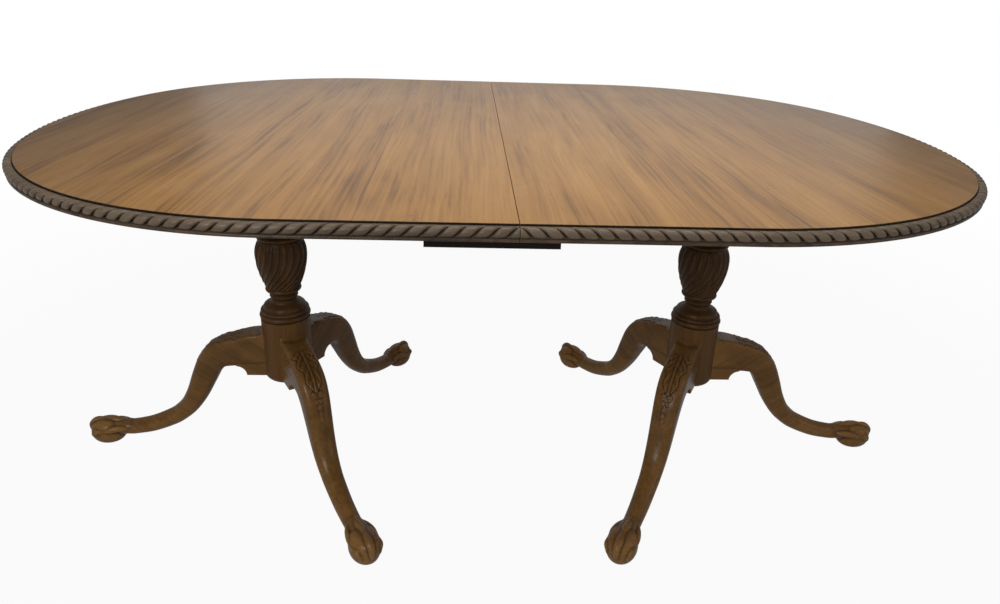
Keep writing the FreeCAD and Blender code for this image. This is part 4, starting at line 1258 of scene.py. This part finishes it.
class TABLE_OT_stage(bpy.types.Operator):
    """Set the floor, the soft light and the camera"""

    bl_idname = "table.stage"
    bl_label = "Stage"

    CAMERA_PLACE = Vector((-0.0666, -1.4125, 1.0068))
    CAMERA_YAW, CAMERA_PITCH, CAMERA_ROLL = 0.0469, -0.354, 0.0342
    FOCAL_PIXELS = 731.3
    CENTRE_PIXEL = (495.3, 243.2)
    IMAGE_SIZE = (1000.0, 604.0)
    SENSOR = 36.0
    CLIP_START = 0.05
    FLOOR_SPAN = 60.0
    FLOOR_NEAR, FLOOR_FAR = 1.3, 3.2
    FLOOR_PALE = 0.945
    FLOOR_COLOUR = (0.55, 0.55, 0.55, 1.0)
    FLOOR_ROUGHNESS, FLOOR_GLOSS = 0.95, 0.1
    WORLD_LIGHT = 0.15
    # Share of their white at which the floor and the world show in polish.
    FLOOR_MIRRORED, WORLD_MIRRORED = 0.3, 0.15
    # Soft boxes: name, place, point lit, width, depth, watts.
    LAMPS = (
        ("overhead_lamp", (0.05, -0.3, 1.72), (0.05, -0.25, 0.7), 1.3, 0.9, 9.6),
        ("front_lamp", (-1.4, -3.2, 2.1), (0.0, 0.0, 0.3), 1.4, 1.1, 62.0),
        ("side_lamp", (2.9, -1.4, 1.4), (0.3, 0.0, 0.3), 1.4, 1.2, 9.0),
        ("back_panel", (0.4, 3.6, 1.65), (0.0, 0.0, 1.0), 4.8, 1.4, 11.0),
    )

    def camera(self):
        """The camera at the photograph's viewing angle."""
        yaw, pitch, roll = self.CAMERA_YAW, self.CAMERA_PITCH, self.CAMERA_ROLL
        forward = Vector((
            math.sin(yaw) * math.cos(pitch), math.cos(yaw) * math.cos(pitch), math.sin(pitch)))
        level = Vector((math.cos(yaw), -math.sin(yaw), 0.0))
        above = level.cross(forward)
        right = math.cos(roll) * level + math.sin(roll) * above
        up = -math.sin(roll) * level + math.cos(roll) * above
        data = bpy.data.cameras.new("camera")
        width, height = self.IMAGE_SIZE
        data.sensor_width = self.SENSOR
        data.lens = self.FOCAL_PIXELS * self.SENSOR / width
        data.shift_x = (width / 2 - self.CENTRE_PIXEL[0]) / width
        data.shift_y = (self.CENTRE_PIXEL[1] - height / 2) / width
        data.clip_start = self.CLIP_START
        camera = put("camera", data)
        axes = Matrix((right, up, -forward)).transposed().to_4x4()
        camera.matrix_world = Matrix.Translation(self.CAMERA_PLACE) @ axes
        bpy.context.scene.camera = camera

    def seen(self, tree, mirrored):
        """One for camera rays, a share for rays seen in or through a surface, and nought for the rest."""
        path = add_node(tree, "LightPath").outputs
        indirect = maths(tree, "MAXIMUM", path["Is Glossy Ray"], path["Is Transmission Ray"])
        return maths(tree, "MAXIMUM", path["Is Camera Ray"], maths(tree, "MULTIPLY", indirect, mirrored))

    def floor(self):
        """A pale floor that keeps the table's shadow, and lets the underside be seen from below."""
        half = self.FLOOR_SPAN / 2
        mesh = new_mesh("floor", [(-half, -half, 0), (half, -half, 0), (half, half, 0), (-half, half, 0)],
                        [(0, 1, 2, 3)], smooth=False)
        floor = put("floor", mesh)
        material, tree, shader = new_material("floor_paper")
        shader.inputs["Base Color"].default_value = self.FLOOR_COLOUR
        shader.inputs["Roughness"].default_value = self.FLOOR_ROUGHNESS
        shader.inputs["Specular IOR Level"].default_value = self.FLOOR_GLOSS
        glow = add_node(tree, "Emission", {"Color": WHITE, "Strength": 1.0})
        place = add_node(tree, "TexCoord").outputs["Object"]
        away = add_node(tree, "VectorMath", {0: place}, operation="LENGTH").outputs["Value"]
        paling = between(tree, away, self.FLOOR_NEAR, self.FLOOR_FAR, self.FLOOR_PALE, 1.0)
        share = maths(tree, "MULTIPLY", self.seen(tree, self.FLOOR_MIRRORED), paling)
        blend = add_node(tree, "MixShader", {0: share, 1: shader.outputs[0], 2: glow.outputs[0]})
        below = add_node(tree, "NewGeometry").outputs["Backfacing"]
        clear = add_node(tree, "BsdfTransparent")
        open_below = add_node(tree, "MixShader", {0: below, 1: blend.outputs[0], 2: clear.outputs[0]})
        tree.links.new(open_below.outputs[0], tree.nodes["Material Output"].inputs["Surface"])
        mesh.materials.append(material)

    def world(self):
        """White surroundings, dimmer as a light than as a background."""
        world = bpy.data.worlds.new("studio")
        world.use_nodes = True
        tree = world.node_tree
        seen = self.seen(tree, self.WORLD_MIRRORED)
        strength = between(tree, seen, 0.0, 1.0, self.WORLD_LIGHT, 1.0)
        tree.nodes["Background"].inputs["Color"].default_value = WHITE
        tree.links.new(strength, tree.nodes["Background"].inputs["Strength"])
        bpy.context.scene.world = world

    def execute(self, context):
        self.camera()
        self.floor()
        self.world()
        for name, place, aim, width, depth, watts in self.LAMPS:
            data = bpy.data.lights.new(name, "AREA")
            data.shape, data.size, data.size_y, data.energy = "RECTANGLE", width, depth, watts
            lamp = put(name, data)
            lamp.location = place
            lamp.rotation_euler = (Vector(aim) - Vector(place)).to_track_quat("-Z", "Y").to_euler()
        bpy.context.scene.view_settings.view_transform = "Standard"
        return {"FINISHED"}


class TABLE_PT_pieces(bpy.types.Panel):
    """The table's pieces and their sizes"""

    bl_label = "Double Pedestal Table"
    bl_idname = "TABLE_PT_pieces"
    bl_space_type = "VIEW_3D"
    bl_region_type = "UI"
    bl_category = "Table"

    def draw(self, context):
        for operator in OPERATORS:
            self.layout.operator(operator.bl_idname)
        for name, group in PROPERTY_GROUPS.items():
            box = self.layout.box()
            for key in group.__annotations__:
                box.prop(getattr(context.scene, name), key)


OPERATORS = (
    TABLE_OT_fields,
    TABLE_OT_rope_edges,
    TABLE_OT_columns,
    TABLE_OT_legs,
    TABLE_OT_underframe,
    TABLE_OT_stage,
)
CLASSES = (*PROPERTY_GROUPS.values(), *OPERATORS, TABLE_PT_pieces)


def register():
    """Adds the classes and the scene's property groups."""
    for each in CLASSES:
        bpy.utils.register_class(each)
    for name, group in PROPERTY_GROUPS.items():
        setattr(bpy.types.Scene, name, bpy.props.PointerProperty(type=group))


def unregister():
    """Takes the property groups and the classes away again."""
    for name in PROPERTY_GROUPS:
        delattr(bpy.types.Scene, name)
    for each in reversed(CLASSES):
        bpy.utils.unregister_class(each)


def main():
    """Builds every piece in order, then the stage."""
    register()
    bpy.ops.table.fields()
    bpy.ops.table.rope_edges()
    bpy.ops.table.columns()
    bpy.ops.table.legs()
    bpy.ops.table.underframe()
    bpy.ops.table.stage()


if __name__ == "__main__":
    main()
